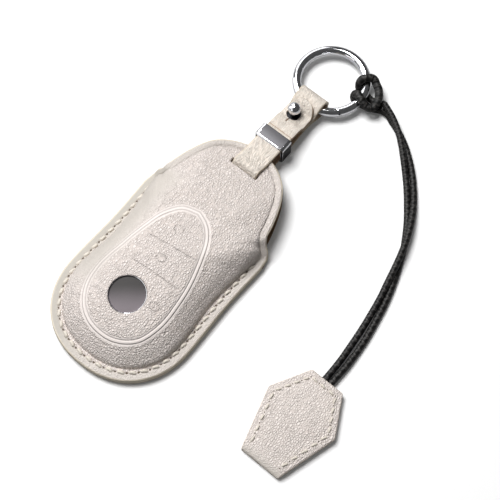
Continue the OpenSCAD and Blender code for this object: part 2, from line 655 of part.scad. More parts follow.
module cord_hitch() {
    color(cord_colour) cord_tube(hitch_path, cord_d / 2, -exit_a, exit_b);
}
module cord_run_a() {
    color(cord_colour) cord_tube(run_a, cord_d / 2, exit_a, into_tag);
}
module cord_run_b() {
    color(cord_colour) cord_tube(run_b, cord_d / 2, exit_b, into_tag);
}

// The tag: one piece of leather folded at its broad end, glued over the cord's two ends
channel_l = 14;
fold_r = tag_leaf_t;
module place_tag() {
    translate(tag_place) rotate([0, 0, tag_turn]) children();
}
module cord_ends() {
    color(cord_colour) place_tag() for (side = [-1, 1]) {
        translate([side * cord_half_gap, 0, mouth_z]) rotate([90, 0, 0]) cylinder(h = channel_l, d = cord_d, $fn = 32);
    }
}
tag_outline = [[-tag_top_w / 2, 0], [-tag_w / 2, tag_shoulder - tag_l], [-tag_fold_w / 2, -tag_l],
    [tag_fold_w / 2, -tag_l], [tag_w / 2, tag_shoulder - tag_l], [tag_top_w / 2, 0]];
module tag_leather() {
    color(leather_colour) place_tag() difference() {
        linear_extrude(2 * tag_leaf_t) polygon(tag_outline);
        translate([-tag_w, -tag_l + fold_r, tag_leaf_t - fit_gap / 2]) cube([2 * tag_w, tag_l, fit_gap]);
        for (side = [-1, 1]) {
            translate([side * cord_half_gap, cut_over, mouth_z]) rotate([90, 0, 0])
                cylinder(h = channel_l + cut_over + fit_gap, d = cord_d + fit_gap, $fn = 32);
        }
        for (side = [0, 1]) {
            translate([0, -tag_l, side * 2 * tag_leaf_t]) rotate([0, 90, 0])
                fold_trim(side);
        }
    }
}
// Rounds the fold's two long edges
module fold_trim(side) {
    linear_extrude(2 * tag_w, center = true) difference() {
        translate([side == 0 ? -fold_r : 0, -cut_over]) square([fold_r, fold_r + cut_over]);
        translate([side == 0 ? -fold_r : fold_r, fold_r]) circle(fold_r);
    }
}
tag_stitch_in = 2.5;
tag_stitch_pitch = 3.9;
function shift_line(a, b, d) = let (v = unit(b - a)) [a + d * [-v.y, v.x], v];
function meet(l, m) = let (d = l[1].x * m[1].y - l[1].y * m[1].x, q = m[0] - l[0])
    l[0] + l[1] * (q.x * m[1].y - q.y * m[1].x) / d;
tag_n = len(tag_outline);
// Stitch corners run from the fold up one side, across the cord's edge and down the other
tag_run_order = [3, 4, 5, 0, 1, 2];
tag_lines = [for (i = [0 : tag_n - 2])
    shift_line(tag_outline[tag_run_order[i]], tag_outline[tag_run_order[i + 1]], tag_stitch_in)];
tag_run = concat([tag_lines[0][0] + tag_lines[0][1] * tag_stitch_in], [for (i = [0 : tag_n - 3])
    meet(tag_lines[i], tag_lines[i + 1])], [let (l = tag_lines[tag_n - 2], a = tag_outline[tag_run_order[tag_n - 2]],
    b = tag_outline[tag_run_order[tag_n - 1]]) l[0] + l[1] * (norm(b - a) - tag_stitch_in)]);
tag_sides = [for (i = [0 : len(tag_run) - 2]) even_points([tag_run[i], tag_run[i + 1]], tag_stitch_pitch)];
tag_holes = concat([for (s = tag_sides) for (i = [0 : len(s) - 2]) s[i]], [tag_run[len(tag_run) - 1]]);
module tag_thread() {
    color(thread_colour) place_tag()
        stitch_row(tag_holes, table_z + thread_d / 2 + fit_gap, 2 * tag_leaf_t + thread_d / 5);
}

front_panel();
front_lining();
back_panel();
back_lining();
seam_thread();
badge_disc();
strap_band();
strap_tongue();
keeper();
ball_stud();
stud_screw();
ring_body();
ring_gate();
gate_pin();
gate_spring();
cord_hitch();
cord_run_a();
cord_run_b();
cord_ends();
tag_leather();
tag_thread();
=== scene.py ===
# %% [markdown]
# # A leather cover for a smart key, with its strap, key ring and corded tag
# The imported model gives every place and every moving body, and this file dresses it. Lengths are written
# in millimetres and turned into metres with the unit below.

# %% Load the frame
import math

import bmesh
import bpy
import numpy as np
from mathutils import Matrix, Vector, noise


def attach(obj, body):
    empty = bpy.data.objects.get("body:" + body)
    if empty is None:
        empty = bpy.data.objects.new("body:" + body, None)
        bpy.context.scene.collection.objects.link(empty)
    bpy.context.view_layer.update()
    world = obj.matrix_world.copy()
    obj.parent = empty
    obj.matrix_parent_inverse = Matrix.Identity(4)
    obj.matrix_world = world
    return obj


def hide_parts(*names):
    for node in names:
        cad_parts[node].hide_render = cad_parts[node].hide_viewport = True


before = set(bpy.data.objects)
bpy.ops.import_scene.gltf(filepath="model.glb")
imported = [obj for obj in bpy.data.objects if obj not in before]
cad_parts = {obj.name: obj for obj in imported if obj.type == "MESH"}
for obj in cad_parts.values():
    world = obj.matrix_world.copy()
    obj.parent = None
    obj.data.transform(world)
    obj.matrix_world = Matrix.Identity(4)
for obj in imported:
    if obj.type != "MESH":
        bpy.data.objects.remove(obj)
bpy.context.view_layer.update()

mm = 0.001

# %% [markdown]
# ## The camera
# It looks down steeply, from half a metre away so that the cover's sides stay nearly parallel.

# %% The camera
view_centre = Vector((19.75, -7.85, 0)) * mm
camera_turn = math.radians(39.25)
camera_lift = math.radians(69)
camera_away = 490 * mm
camera_data = bpy.data.cameras.new("camera")
camera_data.sensor_width = 36
camera_data.lens = 93.8
camera = bpy.data.objects.new("camera", camera_data)
view_line = Vector((math.sin(camera_turn) * math.cos(camera_lift),
                    -math.cos(camera_turn) * math.cos(camera_lift),
                    math.sin(camera_lift)))
camera.location = view_centre + camera_away * view_line
camera.rotation_euler = view_line.to_track_quat("Z", "Y").to_euler()
bpy.context.scene.collection.objects.link(camera)
bpy.context.scene.camera = camera
bpy.context.scene.view_settings.view_transform = "Standard"
picture_right = Vector((math.cos(camera_turn), math.sin(camera_turn), 0))
picture_up = Vector((-math.sin(camera_turn), math.cos(camera_turn), 0))
print("camera at", [round(v, 4) for v in camera.location])

# %% [markdown]
# ## Shader maths
# A field is one output of a shader node, and each operator adds the Math node that does it, so a
# pattern's formula reads as it would on paper.


# %% Fields and materials
class Field:
    """One output of a shader node, with arithmetic that adds Math nodes."""

    def __init__(self, stuff, socket):
        self.stuff = stuff
        self.socket = socket

    def maths(self, operation, *others):
        return self.stuff.node("ShaderNodeMath", dict(enumerate((self, *others))), operation=operation)

    def __add__(self, other):
        return self.maths("ADD", other)

    def __sub__(self, other):
        return self.maths("SUBTRACT", other)

    def __mul__(self, other):
        return self.maths("MULTIPLY", other)

    def __rsub__(self, other):
        return self * -1 + other

    __radd__ = __add__
    __rmul__ = __mul__

    def step(self, low, high):
        """A smooth step from 0 at low to 1 at high."""
        values = {"Value": self, "From Min": low, "From Max": high}
        return self.stuff.node("ShaderNodeMapRange", values, interpolation_type="SMOOTHSTEP")


class Stuff:
    """A material under construction."""

    def __init__(self, name, **fixed):
        self.material = bpy.data.materials.new(name)
        self.material.use_nodes = True
        self.tree = self.material.node_tree
        self.shader = self.tree.nodes["Principled BSDF"]
        for socket, value in fixed.items():
            self.shader.inputs[socket.replace("_", " ")].default_value = value

    def node(self, kind, values=None, output=0, **settings):
        node = self.tree.nodes.new(kind)
        for name, setting in settings.items():
            setattr(node, name, setting)
        for socket, value in (values or {}).items():
            if isinstance(value, Field):
                self.tree.links.new(value.socket, node.inputs[socket])
            else:
                node.inputs[socket].default_value = value
        return Field(self, node.outputs[output])

    def mix(self, share, first, second):
        colours = [c if isinstance(c, Field) else (*c, 1) for c in (first, second)]
        return self.node("ShaderNodeMix", {0: share, 6: colours[0], 7: colours[1]}, 2, data_type="RGBA")

    def place(self, scale=1.0):
        """Object coordinates in millimetres, times a scale that may differ along the axes."""
        scales = scale if isinstance(scale, tuple) else (scale, scale, scale)
        place = self.node("ShaderNodeTexCoord", output=3)
        return self.node("ShaderNodeMapping", {"Vector": place, "Scale": [s / mm for s in scales]})

    def shake(self, place, scale, amount):
        """A place moved about by noise, so that a pattern on it isn't regular."""
        cloud = self.node("ShaderNodeTexNoise", {"Vector": place, "Scale": scale, "Detail": 2.0}, 1)
        centred = self.node("ShaderNodeVectorMath", {0: cloud, 1: (0.5, 0.5, 0.5)}, operation="SUBTRACT")
        moved = self.node("ShaderNodeVectorMath", {0: centred, "Scale": amount}, operation="SCALE")
        return self.node("ShaderNodeVectorMath", {0: place, 1: moved}, operation="ADD")

    def noise(self, place, scale, detail=3.0):
        return self.node("ShaderNodeTexNoise", {"Vector": place, "Scale": scale, "Detail": detail})

    def mark(self, name):
        """A number that the mesh carries on its vertices."""
        return self.node("ShaderNodeAttribute", output=2, attribute_name=name)

    def feed(self, socket, field):
        self.tree.links.new(field.socket, self.shader.inputs[socket])

    def bump(self, height, depth):
        self.feed("Normal", self.node("ShaderNodeBump", {"Height": height, "Distance": depth * mm}))


def linear(*colour):
    """A colour read off a screen, as the shader's linear values."""
    return tuple(((c / 255 + 0.055) / 1.055) ** 2.4 for c in colour)


# %% [markdown]
# ## Pebbled leather
# The cover is soft-grained leather: small uneven pebbles, about a millimetre across, with fine valleys
# between them and a few longer folds. Voronoi cells whose places are shaken by noise give the pebbles.
# The mesh carries marks on its vertices for what follows its own shape: edge is 1 on the painted edge,
# the flat-grain mark is 1 where the grain is pressed flat, and drop, crease and score rise to 3 mm where
# the pressed lines run. Where the flat-grain mark is high the colour is darker, partly the pressed leather's
# own tone and partly painted shade; the pressed lines' grooves are darkened as painted shade.

# %% Leather
near_mm = 3.0
twin_gap = 0.68  # the teardrop is pressed as two lines, each this far from its middle
twin_w = 0.42
flat_band = (1.1, 1.8)  # beside the teardrop the grain is pressed flat as far as this


def groove(mark, middle, width):
    """1 in the middle of a groove whose distance from the pressed line is given, and 0 beside it."""
    away = (near_mm - middle) - mark
    return 1 - away.maths("ABSOLUTE").step(0.0, width)


def leather(name, colour, valley, paint, grain=(1.3, 0.85, 1.1), depth=0.26, rough=0.56):
    stuff = Stuff(name, Roughness=rough, Specular_IOR_Level=0.3)
    place = stuff.shake(stuff.place(grain), 0.8, 0.7)
    cell_settings = {"Vector": place, "Scale": 1.0, "Randomness": 0.92}
    domes = stuff.node("ShaderNodeTexVoronoi", cell_settings, feature="F1")
    cracks = stuff.node("ShaderNodeTexVoronoi", cell_settings, feature="DISTANCE_TO_EDGE").step(0.0, 0.3)
    fine = stuff.noise(stuff.place(grain), 1.7, 2.0)
    long_folds = stuff.noise(stuff.place((0.42 * grain[0], 0.2 * grain[1], 0.42 * grain[2])), 1.0, 2.0)
    folds = (long_folds - 0.5).maths("ABSOLUTE").step(0.0, 0.035)
    grains = 0.9 * cracks - 0.25 * domes + 0.3 * fine + 0.6 * folds
    drop = stuff.mark("drop")
    painted = stuff.mark("edge")
    band = (near_mm - drop).step(*flat_band)
    flat_grain_and_shade = stuff.mark("flat_grain_and_shade").maths("MAXIMUM", 0.9 * (1 - band)).maths("MAXIMUM", painted)
    double = groove(drop, twin_gap, twin_w)
    creased = groove(stuff.mark("crease"), 0.0, 0.5)
    scored = groove(stuff.mark("score"), 0.0, 0.4)
    lines = (0.26 * double + 0.2 * creased + 0.3 * scored) * (1 - painted)
    stuff.bump(grains * depth * (1 - flat_grain_and_shade) - lines, 1.0)
    low = (cracks * 0.9 + fine * 0.4).step(0.2, 0.85)
    body = stuff.mix((1 - flat_grain_and_shade) * (1 - low), colour, valley)
    broad = stuff.noise(stuff.place(), 0.09, 2.0)
    clouded = stuff.mix(broad.step(0.3, 0.75) * 0.3, body, [c * 0.93 for c in colour])
    # The flat-grain mark also darkens the colour: partly the pressed leather's own tone, partly painted shade
    # on the left flank, the left of the rim and the tag's fold.
    flat_tone_and_shade = [c * k for c, k in zip(colour, (0.5, 0.51, 0.47))]
    flat_and_shade_tinted = stuff.mix(stuff.mark("flat_grain_and_shade") * 0.9, clouded, flat_tone_and_shade)
    # Painted shade: the pressed lines' grooves are darkened in colour.
    groove_shaded = stuff.mix(lines * 1.3, flat_and_shade_tinted, [c * 0.5 for c in valley])
    stuff.feed("Base Color", stuff.mix(painted, groove_shaded, paint))
    stuff.feed("Roughness", 0.12 * fine + (rough - 0.06) - 0.12 * painted)
    return stuff.material


cover_colour = linear(236, 227, 222)
cover_valley = linear(211, 200, 193)
paint_colour = linear(226, 215, 196)
cover_leather = leather("cover_leather", cover_colour, cover_valley, paint_colour)
tag_leather = leather("tag_leather", linear(240, 231, 225), linear(216, 205, 198), linear(250, 238, 225))
strap_leather = leather("strap_leather", linear(252, 243, 232), linear(234, 222, 209), linear(200, 186, 164),
                        grain=(2.2, 0.36, 1.0), depth=0.28)


# %% [markdown]
# ## The leather's flesh side, the thread and the metals
# The cover's inside is brown and napped, and the strap's core is tan. Chrome is almost a mirror. The
# keeper's face is brushed along its length, and its sides are darkened as painted shade.

# %% Other finishes
def finish(name, dark, light, scale, detail=3.0, stretch=1.0, relief=0.0, rough=0.5, rough_more=0.0, **fixed):
    """A finish whose colour, and if wanted its roughness and its relief, follow one noise."""
    stuff = Stuff(name, Roughness=rough, **fixed)
    speck = stuff.noise(stuff.place(stretch), scale, detail)
    stuff.feed("Base Color", stuff.mix(speck, linear(*dark), linear(*light)))
    if rough_more:
        stuff.feed("Roughness", speck * rough_more + rough)
    if relief:
        stuff.bump(speck, relief)
    return stuff.material


def satin_steel():
    stuff = Stuff("satin_steel", Metallic=0.35, Roughness=0.5, Specular_IOR_Level=0.3)
    lines = stuff.noise(stuff.place((0.35, 9.0, 9.0)), 1.6, 3.0)
    facing = stuff.node("ShaderNodeNewGeometry", output="Normal")
    # Painted shade: faces that don't face up take a dark colour, so the keeper's sides read dark.
    unshaded_top = stuff.node("ShaderNodeSeparateXYZ", {0: facing}, 2).step(0.2, 0.8)
    brushed = stuff.mix(lines, linear(84, 83, 86), linear(106, 105, 108))
    stuff.feed("Base Color", stuff.mix(unshaded_top, linear(34, 34, 37), brushed))
    stuff.feed("Roughness", lines * 0.14 + 0.42)
    stuff.bump(lines, 0.02)
    return stuff.material


def blank_badge():
    stuff = Stuff("blank_badge", Metallic=0.25, Roughness=0.5, Specular_IOR_Level=0.3)
    grain = stuff.noise(stuff.place(1.2), 3.0, 4.0)
    across, along = (stuff.node("ShaderNodeSeparateXYZ", {0: stuff.place()}, k) for k in (0, 1))
    # Painted shade and reflection: the disc's colour darkens towards the top of the picture, with a little
    # noise.
    shade = (0.77 * along - 0.63 * across + 0.4 * grain).step(-46.5, -36.5)
    stuff.feed("Base Color", stuff.mix(shade, linear(95, 88, 92), linear(24, 20, 19)))
    stuff.feed("Roughness", grain * 0.1 + 0.45)
    return stuff.material


def braid(strands=4):
    stuff = Stuff("waxed_cord", Roughness=0.5, Specular_IOR_Level=0.26, Coat_Weight=0.06, Coat_Roughness=0.35)
    along = stuff.node("ShaderNodeUVMap", uv_map="braid")
    turns, round_way = (stuff.node("ShaderNodeSeparateXYZ", {0: along}, k) for k in (0, 1))
    right_hand = (turns * math.tau + round_way * strands * math.tau).maths("SINE")
    left_hand = (turns * math.tau - round_way * strands * math.tau).maths("SINE")
    weave = right_hand.maths("MAXIMUM", left_hand)
    speck_noise = stuff.noise(stuff.place(), 2.6, 4.0)
    # The strands' crowns are coloured lighter as painted glints, with some random lighter specks.
    glint_and_speck = (weave * 0.5 + speck_noise).step(0.85, 1.15)
    stuff.feed("Base Color", stuff.mix(glint_and_speck, linear(9, 8, 8), linear(66, 63, 61)))
    stuff.feed("Roughness", speck_noise * 0.2 + 0.42)
    stuff.bump(weave + speck_noise * 0.4, 0.12)
    return stuff.material


flesh_side = finish("flesh_side", (128, 102, 76), (178, 150, 118), 1.8, 5.0, relief=0.15, rough=0.85)
strap_core = finish("strap_core", (178, 150, 124), (212, 188, 162), 1.8, 5.0, relief=0.15, rough=0.85)
thread_wax = finish("waxed_thread", (198, 189, 176), (230, 223, 212), 3.0, 4.0, stretch=2.0, relief=0.05)
# A needle hole's dark colour is painted shade for the hole's inside.
hole_shade = finish("needle_hole_shade", (72, 62, 52), (118, 104, 90), 4.0, rough=0.9)
chrome_plate = finish("chrome", (214, 215, 220), (238, 238, 240), 0.35, rough=0.07, rough_more=0.06,
                      Metallic=1.0)
# Dark steel for the gate's spring and the pin's head, and painted shade on the stud's neck and flange.
dark_metal_and_shade = finish("dark_wire_and_stud_shade", (30, 30, 32), (60, 60, 63), 2.0, stretch=(4.0, 0.8, 4.0), rough=0.3,
                      Metallic=1.0)
satin_plate = satin_steel()
badge_plate = blank_badge()
cord_wax = braid()
print("materials:", len(bpy.data.materials))


# %% [markdown]
# ## Helpers for pieces
# Every piece is a mesh whose place is in its vertices. The helpers link it, give it its materials, say
# which body it rides on and hide the imported node it stands for. Shapes are made in millimetres from
# grids, spun profiles and boxes.

# %% Piece helpers
def put(name, mesh, body, materials, slot, *replaced):
    piece = bpy.data.objects.new(name, mesh)
    bpy.context.scene.collection.objects.link(piece)
    for material in materials:
        mesh.materials.append(material)
    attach(piece, body)
    if replaced:
        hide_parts(*replaced)
    return piece


def mesh_from(name, bm, sharp=40, recalculate=True):
    """Closes the bmesh's normals, turns millimetres to metres and smooths all but sharp corners."""
    if recalculate:
        bmesh.ops.recalc_face_normals(bm, faces=bm.faces)
    bmesh.ops.scale(bm, vec=(mm, mm, mm), verts=bm.verts)
    for face in bm.faces:
        face.smooth = True
    mesh = bpy.data.meshes.new(name)
    bm.to_mesh(mesh)
    bm.free()
    mesh.set_sharp_from_angle(angle=math.radians(sharp))
    return mesh


def dress(name, bm, body, materials, slot, *replaced, **how):
    return put(name, mesh_from(name, bm, **how), body, materials, slot, *replaced)


def modify(piece, kind, **settings):
    modifier = piece.modifiers.new(kind.lower(), kind)
    for name, value in settings.items():
        setattr(modifier, name, value)


def add_grid(bm, across, along):
    """Adds a flat grid that is to be bent: its vertices, each with its column and its row."""
    verts = bmesh.ops.create_grid(bm, x_segments=across, y_segments=along, size=0.5)["verts"]
    return [(v, round((v.co.x + 0.5) * across), round((v.co.y + 0.5) * along)) for v in verts]


def face_up(bm, near_y):
    """Makes the normals agree, so that the upper layer faces up near a given place."""
    bmesh.ops.recalc_face_normals(bm, faces=bm.faces)
    top = max((f for f in bm.faces if abs(f.calc_center_median().y - near_y) < 1.5),
              key=lambda f: f.calc_center_median().z)
    if top.normal.z < 0:
        bmesh.ops.reverse_faces(bm, faces=bm.faces)


def turned_bm(profile, steps):
    """A profile of radii and heights, spun once round the Z axis."""
    bm = bmesh.new()
    verts = [bm.verts.new((max(r, 0), 0, z)) for r, z in profile]
    edges = [bm.edges.new(pair) for pair in zip(verts, verts[1:])]
    bmesh.ops.spin(bm, geom=verts + edges, axis=(0, 0, 1), cent=(0, 0, 0), angle=math.tau, steps=steps,
                   use_merge=True)
    bmesh.ops.remove_doubles(bm, verts=bm.verts, dist=1e-4)
    return bm


def round_off(bm, edges, width, segments):
    """Rounds edges off and returns the new faces."""
    return bmesh.ops.bevel(bm, geom=edges, affect="EDGES", offset=width, segments=segments, profile=0.5,
                           material=-1)["faces"]


def sharp_edges(bm, angle):
    return [e for e in bm.edges if e.is_manifold and e.calc_face_angle(0) > angle]


def mix(a, b, share):
    return a + (b - a) * share


def ease(share):
    share = min(1.0, max(0.0, share))
    return share * share * (3 - 2 * share)


def smooth_line(points, steps):
    """A line that passes smoothly through the points."""
    last = len(points) - 1
    line = []
    for i in range(last):
        a, b, c, d = (np.array(points[min(max(k, 0), last)], float) for k in (i - 1, i, i + 1, i + 2))
        for j in range(steps):
            t = j / steps
            line.append((2 * b + (c - a) * t + (2 * a - 5 * b + 4 * c - d) * t ** 2
                         + (3 * b - a - 3 * c + d) * t ** 3) / 2)
    line.append(np.array(points[last], float))
    return line


# %% [markdown]
# ## The cord
# A waxed black cord is doubled and hitched on the ring: its loop goes round the wire, and the two runs
# pass through the loop and lie on the table to the tag. The UV map of each tube carries the braid.

# %% The cord's route
tail_y = -81.65
case_l = 105
cord_d = 2.3
ring_at = case_l + 42.8
ring_z = 4.2
ring_centre = Vector((0.7, tail_y + ring_at, ring_z))
hitch_polar = [(22.6, 8.4, -2.8), (20.4, 6.3, -2.8), (18.4, 4, -2.8), (16.6, 2.8, -2.95),
               (14.66, 2, -2.97), (12.74, 0.4, -2.97), (11.18, -0.5, -1.83), (10.58, 1, 0), (11.18, 3, 1.83),
               (12.74, 1.5, 2.97), (14.66, -2, 2.97), (16.6, -3.4, 2.2), (18.7, -2.4, 1.4), (20, 1.4, 1.3),
               (20, 9.7, 1.3), (19.5, 17.5, 1.3), (18.6, 25.3, 1.3), (17.4, 31.8, 1.7), (16.3, 37.4, 2.5),
               (14.66, 38.5, 2.97), (12.74, 37.5, 2.97), (11.18, 34.5, 1.83), (10.58, 29.5, 0),
               (11.18, 25, -1.83), (12.74, 22, -2.97), (14.66, 19.5, -2.97), (16.6, 16, -2.9),
               (18.4, 14.4, -2.6), (20.5, 13.7, -2), (22.6, 13.8, -0.9)]
hitch_route = [ring_centre + Vector((r * math.cos(math.radians(a)), r * math.sin(math.radians(a)), z))
               for r, a, z in hitch_polar]
on_table = 1.2
run_a_route = [(25.4, 69.6), (29.1, 68.2), (33, 66.6), (37.8, 64.1), (43.1, 60.2), (48, 55.8), (52.6, 50.7),
               (56.7, 45, 1.9), (60.2, 38.7, 3.1), (63.1, 32.1, 3.7), (65, 26.4, 3.7), (66.6, 20.3, 3.4),
               (68, 13.9, 2.6), (69.5, 7.2, 1.6), (70.6, 0.2), (71.6, -7.1), (72.3, -14.5),
               (72.8, -21.5, 1.4)]
run_b_route = [(26.4, 69.9, 3.5), (30, 68, 3.6), (33.6, 65.6, 3.6), (37.7, 62.2, 3.4), (42.1, 58, 2.6),
               (46.3, 53.8, 1.4), (50.7, 48.9), (54.7, 43.8), (58.5, 38.6), (62.1, 32.8), (65, 27.4),
               (67.4, 21.4), (69.7, 14.9), (71.8, 7.8), (73.3, 0.6), (74.6, -6.8), (75.4, -14.3),
               (75.7, -21.4, 1.4)]
tag_turn = math.radians(-0.5)
tag_place = Matrix.Translation((74.1, -30.3, 0)) @ Matrix.Rotation(tag_turn, 4, "Z")
tag_leaf = 1.6
cord_half_gap = 1.3
into_tag = 4.0
braid_pitch = 2.4


def run_line(start, inner, side):
    """A run from the hitch into the tag. A place without a height lies on the table."""
    ends = [tag_place @ Vector((side * cord_half_gap, -y, tag_leaf)) for y in (0, into_tag)]
    return [start, *(Vector((*p, on_table)[:3]) for p in inner), *ends]


def tube(name, route, diameter, upper=1.0):
    """A round tube along a smooth line, with the braid's turns in its UV map. The part that lies over the
    ring's middle is wider by the factor upper, as a cord that isn't pressed flat by the table."""
    curve = bpy.data.curves.new(name, "CURVE")
    curve.dimensions = "3D"
    curve.resolution_u = 5
    curve.bevel_depth = diameter / 2 * mm
    curve.bevel_resolution = 4
    curve.use_fill_caps = True
    line = curve.splines.new("BEZIER")
    line.bezier_points.add(len(route) - 1)
    for knot, place in zip(line.bezier_points, route):
        knot.co = Vector(place) * mm
        knot.handle_left_type = knot.handle_right_type = "AUTO"
        knot.radius = upper if place[2] > ring_centre.z else 1.0
    holder = bpy.data.objects.new(name + "_curve", curve)
    bpy.context.scene.collection.objects.link(holder)
    bpy.context.view_layer.update()
    mesh = bpy.data.meshes.new_from_object(holder.evaluated_get(bpy.context.evaluated_depsgraph_get()))
    bpy.data.objects.remove(holder)
    length = sum((Vector(b) - Vector(a)).length for a, b in zip(route, route[1:]))
    mesh.uv_layers[0].name = "braid"
    for corner in mesh.uv_layers[0].data:
        corner.uv = (corner.uv[0] * length / braid_pitch, corner.uv[1] * 0.25)
    for face in mesh.polygons:
        face.use_smooth = True
    print(name, "is", round(length, 1), "mm long")
    return put(name, mesh, "lanyard", [cord_wax], "cord", "cord_" + name), length


tube("hitch", hitch_route, 1.15 * cord_d, upper=1.24)
run_lines = {"run_a": run_line(hitch_route[0], run_a_route, -1),
             "run_b": run_line(hitch_route[-1], run_b_route, 1)}
runs = [(*tube(name, line, 1.12 * cord_d), line) for name, line in run_lines.items()]

# %% [markdown]
# ## The cover's outline
# A blunt round tail, sides with a slight waist, a rounded step where the stitching stops and a flared
# round mouth, walked at even steps so that the leather's mesh has even faces.

# %% The outline
half_w = 57 / 2
seam_l = 73.8
mouth_r = 21.4
mouth_flare = 3.4
tail_power = 2.2
waist_in = 0.6
step_l = 3
columns = 360


def outline_line():
    half = []
    power = 2 / tail_power
    for i in range(41):
        a = math.pi / 2 * i / 40
        half.append((half_w * math.sin(a) ** power, half_w * (1 - math.cos(a) ** power)))
    for i in range(1, 20):
        share = i / 21
        half.append((half_w - waist_in * math.sin(math.pi * share) ** 2, mix(half_w, seam_l, share)))
    step_x = half_w - step_l
    for i in range(9):
        a = math.pi / 2 * i / 8
        half.append((step_x + step_l * 0.78 * math.cos(a), seam_l + step_l * 0.85 * math.sin(a)))
    for degree in range(-12, 89, 2):
        flare = mouth_flare * (max(0, 25 - degree) / 41) ** 2
        a = math.radians(degree)
        half.append((mouth_r * math.cos(a) + flare, case_l - mouth_r + mouth_r * math.sin(a)))
    whole = half + [(0.0, float(case_l))] + [(-x, y) for x, y in reversed(half[1:])]
    return np.array(whole)


def even_steps(line, count, closed=False):
    """Points at even distances along a line."""
    path = np.vstack([line, line[:1]]) if closed else np.asarray(line)
    gone = np.concatenate([[0], np.cumsum(np.linalg.norm(np.diff(path, axis=0), axis=1))])
    stops = np.linspace(0, gone[-1], count + 1)
    stops = stops[:-1] if closed else stops
    return np.stack([np.interp(stops, gone, path[:, k]) for k in range(path.shape[1])], 1)


outline = even_steps(outline_line(), columns, closed=True)
outline = (np.roll(outline, 1, 0) + 2 * outline + np.roll(outline, -1, 0)) / 4
print("outline:", len(outline), "points", outline.min(0).round(2), outline.max(0).round(2))

# %% [markdown]
# ## The moulded front
# The front is one skin: a dome, a flat rim that carries the stitches, and a free lip round the mouth. A
# grid is wrapped into rings round the dome's centre, a height formula shapes it, and the crease sinks in.

# %% The front's height
case_h = 15.9
lip_h = 10.5
lip_end_h = 8.6
rim_w = 4.6
lip_w = 2.6
leather_t = 1.3
lining_t = 0.5
rim_t = 2 * (leather_t + lining_t)
back_rise = 1.9
dome_cy = 46
climb_l = 5.2
drop_l = 9
foot_early = 11
stitch_in = 3.1


def edge_height(y, early=0):
    """The edge's height. The dome's side starts from a line that climbs to the lip this much sooner."""
    climb = (lip_h - rim_t) * ease((y - seam_l + early) / (early + climb_l))
    return rim_t + climb - (lip_h - lip_end_h) * ease((y - (case_l - drop_l)) / drop_l)


def rim_width(y):
    return mix(rim_w, lip_w, ease((y - seam_l + 3 * step_l) / (4 * step_l)))


def skin(edge, share):
    """A point of the outer skin, from the dome's centre at 0 over the rim's foot at 1 to the edge at 2."""
    away = edge - (0, dome_cy)
    foot = 1 - rim_width(edge[1]) / np.linalg.norm(away)
    mouth = ease((edge[1] - seam_l + step_l) / (case_l - mouth_r * 0.6 - seam_l))
    rise = max(0, 1 - min(share, 1) ** mix(3, 2.6, mouth)) ** mix(0.6, 1, mouth)
    reach = min(share, 1) * foot + max(0, share - 1) * (1 - foot)
    low = mix(edge_height(edge[1], foot_early), edge_height(edge[1]), min(share, 1) ** 6)
    return away[0] * reach, dome_cy + away[1] * reach, low + (case_h - low) * rise


def crown_at(y):
    """Height of the skin over the cover's middle line."""
    edge = np.array((0.0, 0.0)) if y < dome_cy else np.array((0.0, float(case_l)))
    foot = 1 - rim_width(edge[1]) / abs(edge[1] - dome_cy)
    return skin(edge, abs(y - dome_cy) / abs(edge[1] - dome_cy) / foot)[2]


print("crown:", [round(crown_at(y), 2) for y in (20, 46, 70, 90, 100)])

# %% The pressed lines
badge_at = np.array((0.0, 28.3))
badge_r = 7.35
slot_at = case_l - 10.2
slot_half = np.array((6.3, 1.2))
teardrop = [(0, -5.2), (4.6, -7.1), (8.3, -10.6), (11, -15.6), (13.6, -23.1), (15.3, -29.6), (16.4, -36.8),
            (16.9, -43.8), (16.1, -49.9), (14.1, -55.3), (10.5, -59), (5.8, -61.3), (0.8, -61.9),
            (-4.5, -61.2), (-9, -59), (-12.6, -55.4), (-15, -50.6), (-15.9, -44.6), (-15.7, -38.6),
            (-14.8, -32.7), (-13.6, -25.2), (-12, -18.2), (-9.7, -11.9), (-6, -7.2), (0, -5.2)]
pressed_lines = [[(-8.7, -22.9), (10.3, -20.2)], [(-6.7, -34.1), (12.5, -32.6)]]
pad_places = [(-1.5, -14.7), (0.8, -27.4), (10.8, -43)]


def to_line(points, line):
    """Each point's distance to a line, and on which side of it the point lies."""
    best = np.full(len(points), 1e9)
    side = np.zeros(len(points))
    for a, b in zip(line, line[1:]):
        way = b - a
        share = np.clip(((points - a) @ way) / (way @ way), 0, 1)
        off = points - a - share[:, None] * way
        gap = np.linalg.norm(off, axis=1)
        nearer = gap < best
        best = np.where(nearer, gap, best)
        side = np.where(nearer, np.sign(way[0] * off[:, 1] - way[1] * off[:, 0]), side)
    return best, side


def pressed(points):
    """Each point's distance to the teardrop's line, its side of it, and its distance to the scored lines."""
    local = points - (0, seam_l)
    drop_gap, drop_side = to_line(local, np.array(smooth_line(teardrop, 6)))
    scores = [to_line(local, np.array(line, float))[0] for line in pressed_lines]
    scores += [np.abs(np.linalg.norm((local - place) / (1, 0.8), axis=1) - 1.9) for place in pad_places]
    return drop_gap, drop_side, np.min(scores, axis=0)


# %% The front's mesh
dome_rings = 100
rim_rings = 13
slit_half = 0.22
shares = [(i / dome_rings) ** 0.9 for i in range(dome_rings + 1)]
shares += [1 + i / rim_rings for i in range(1, rim_rings + 1)]


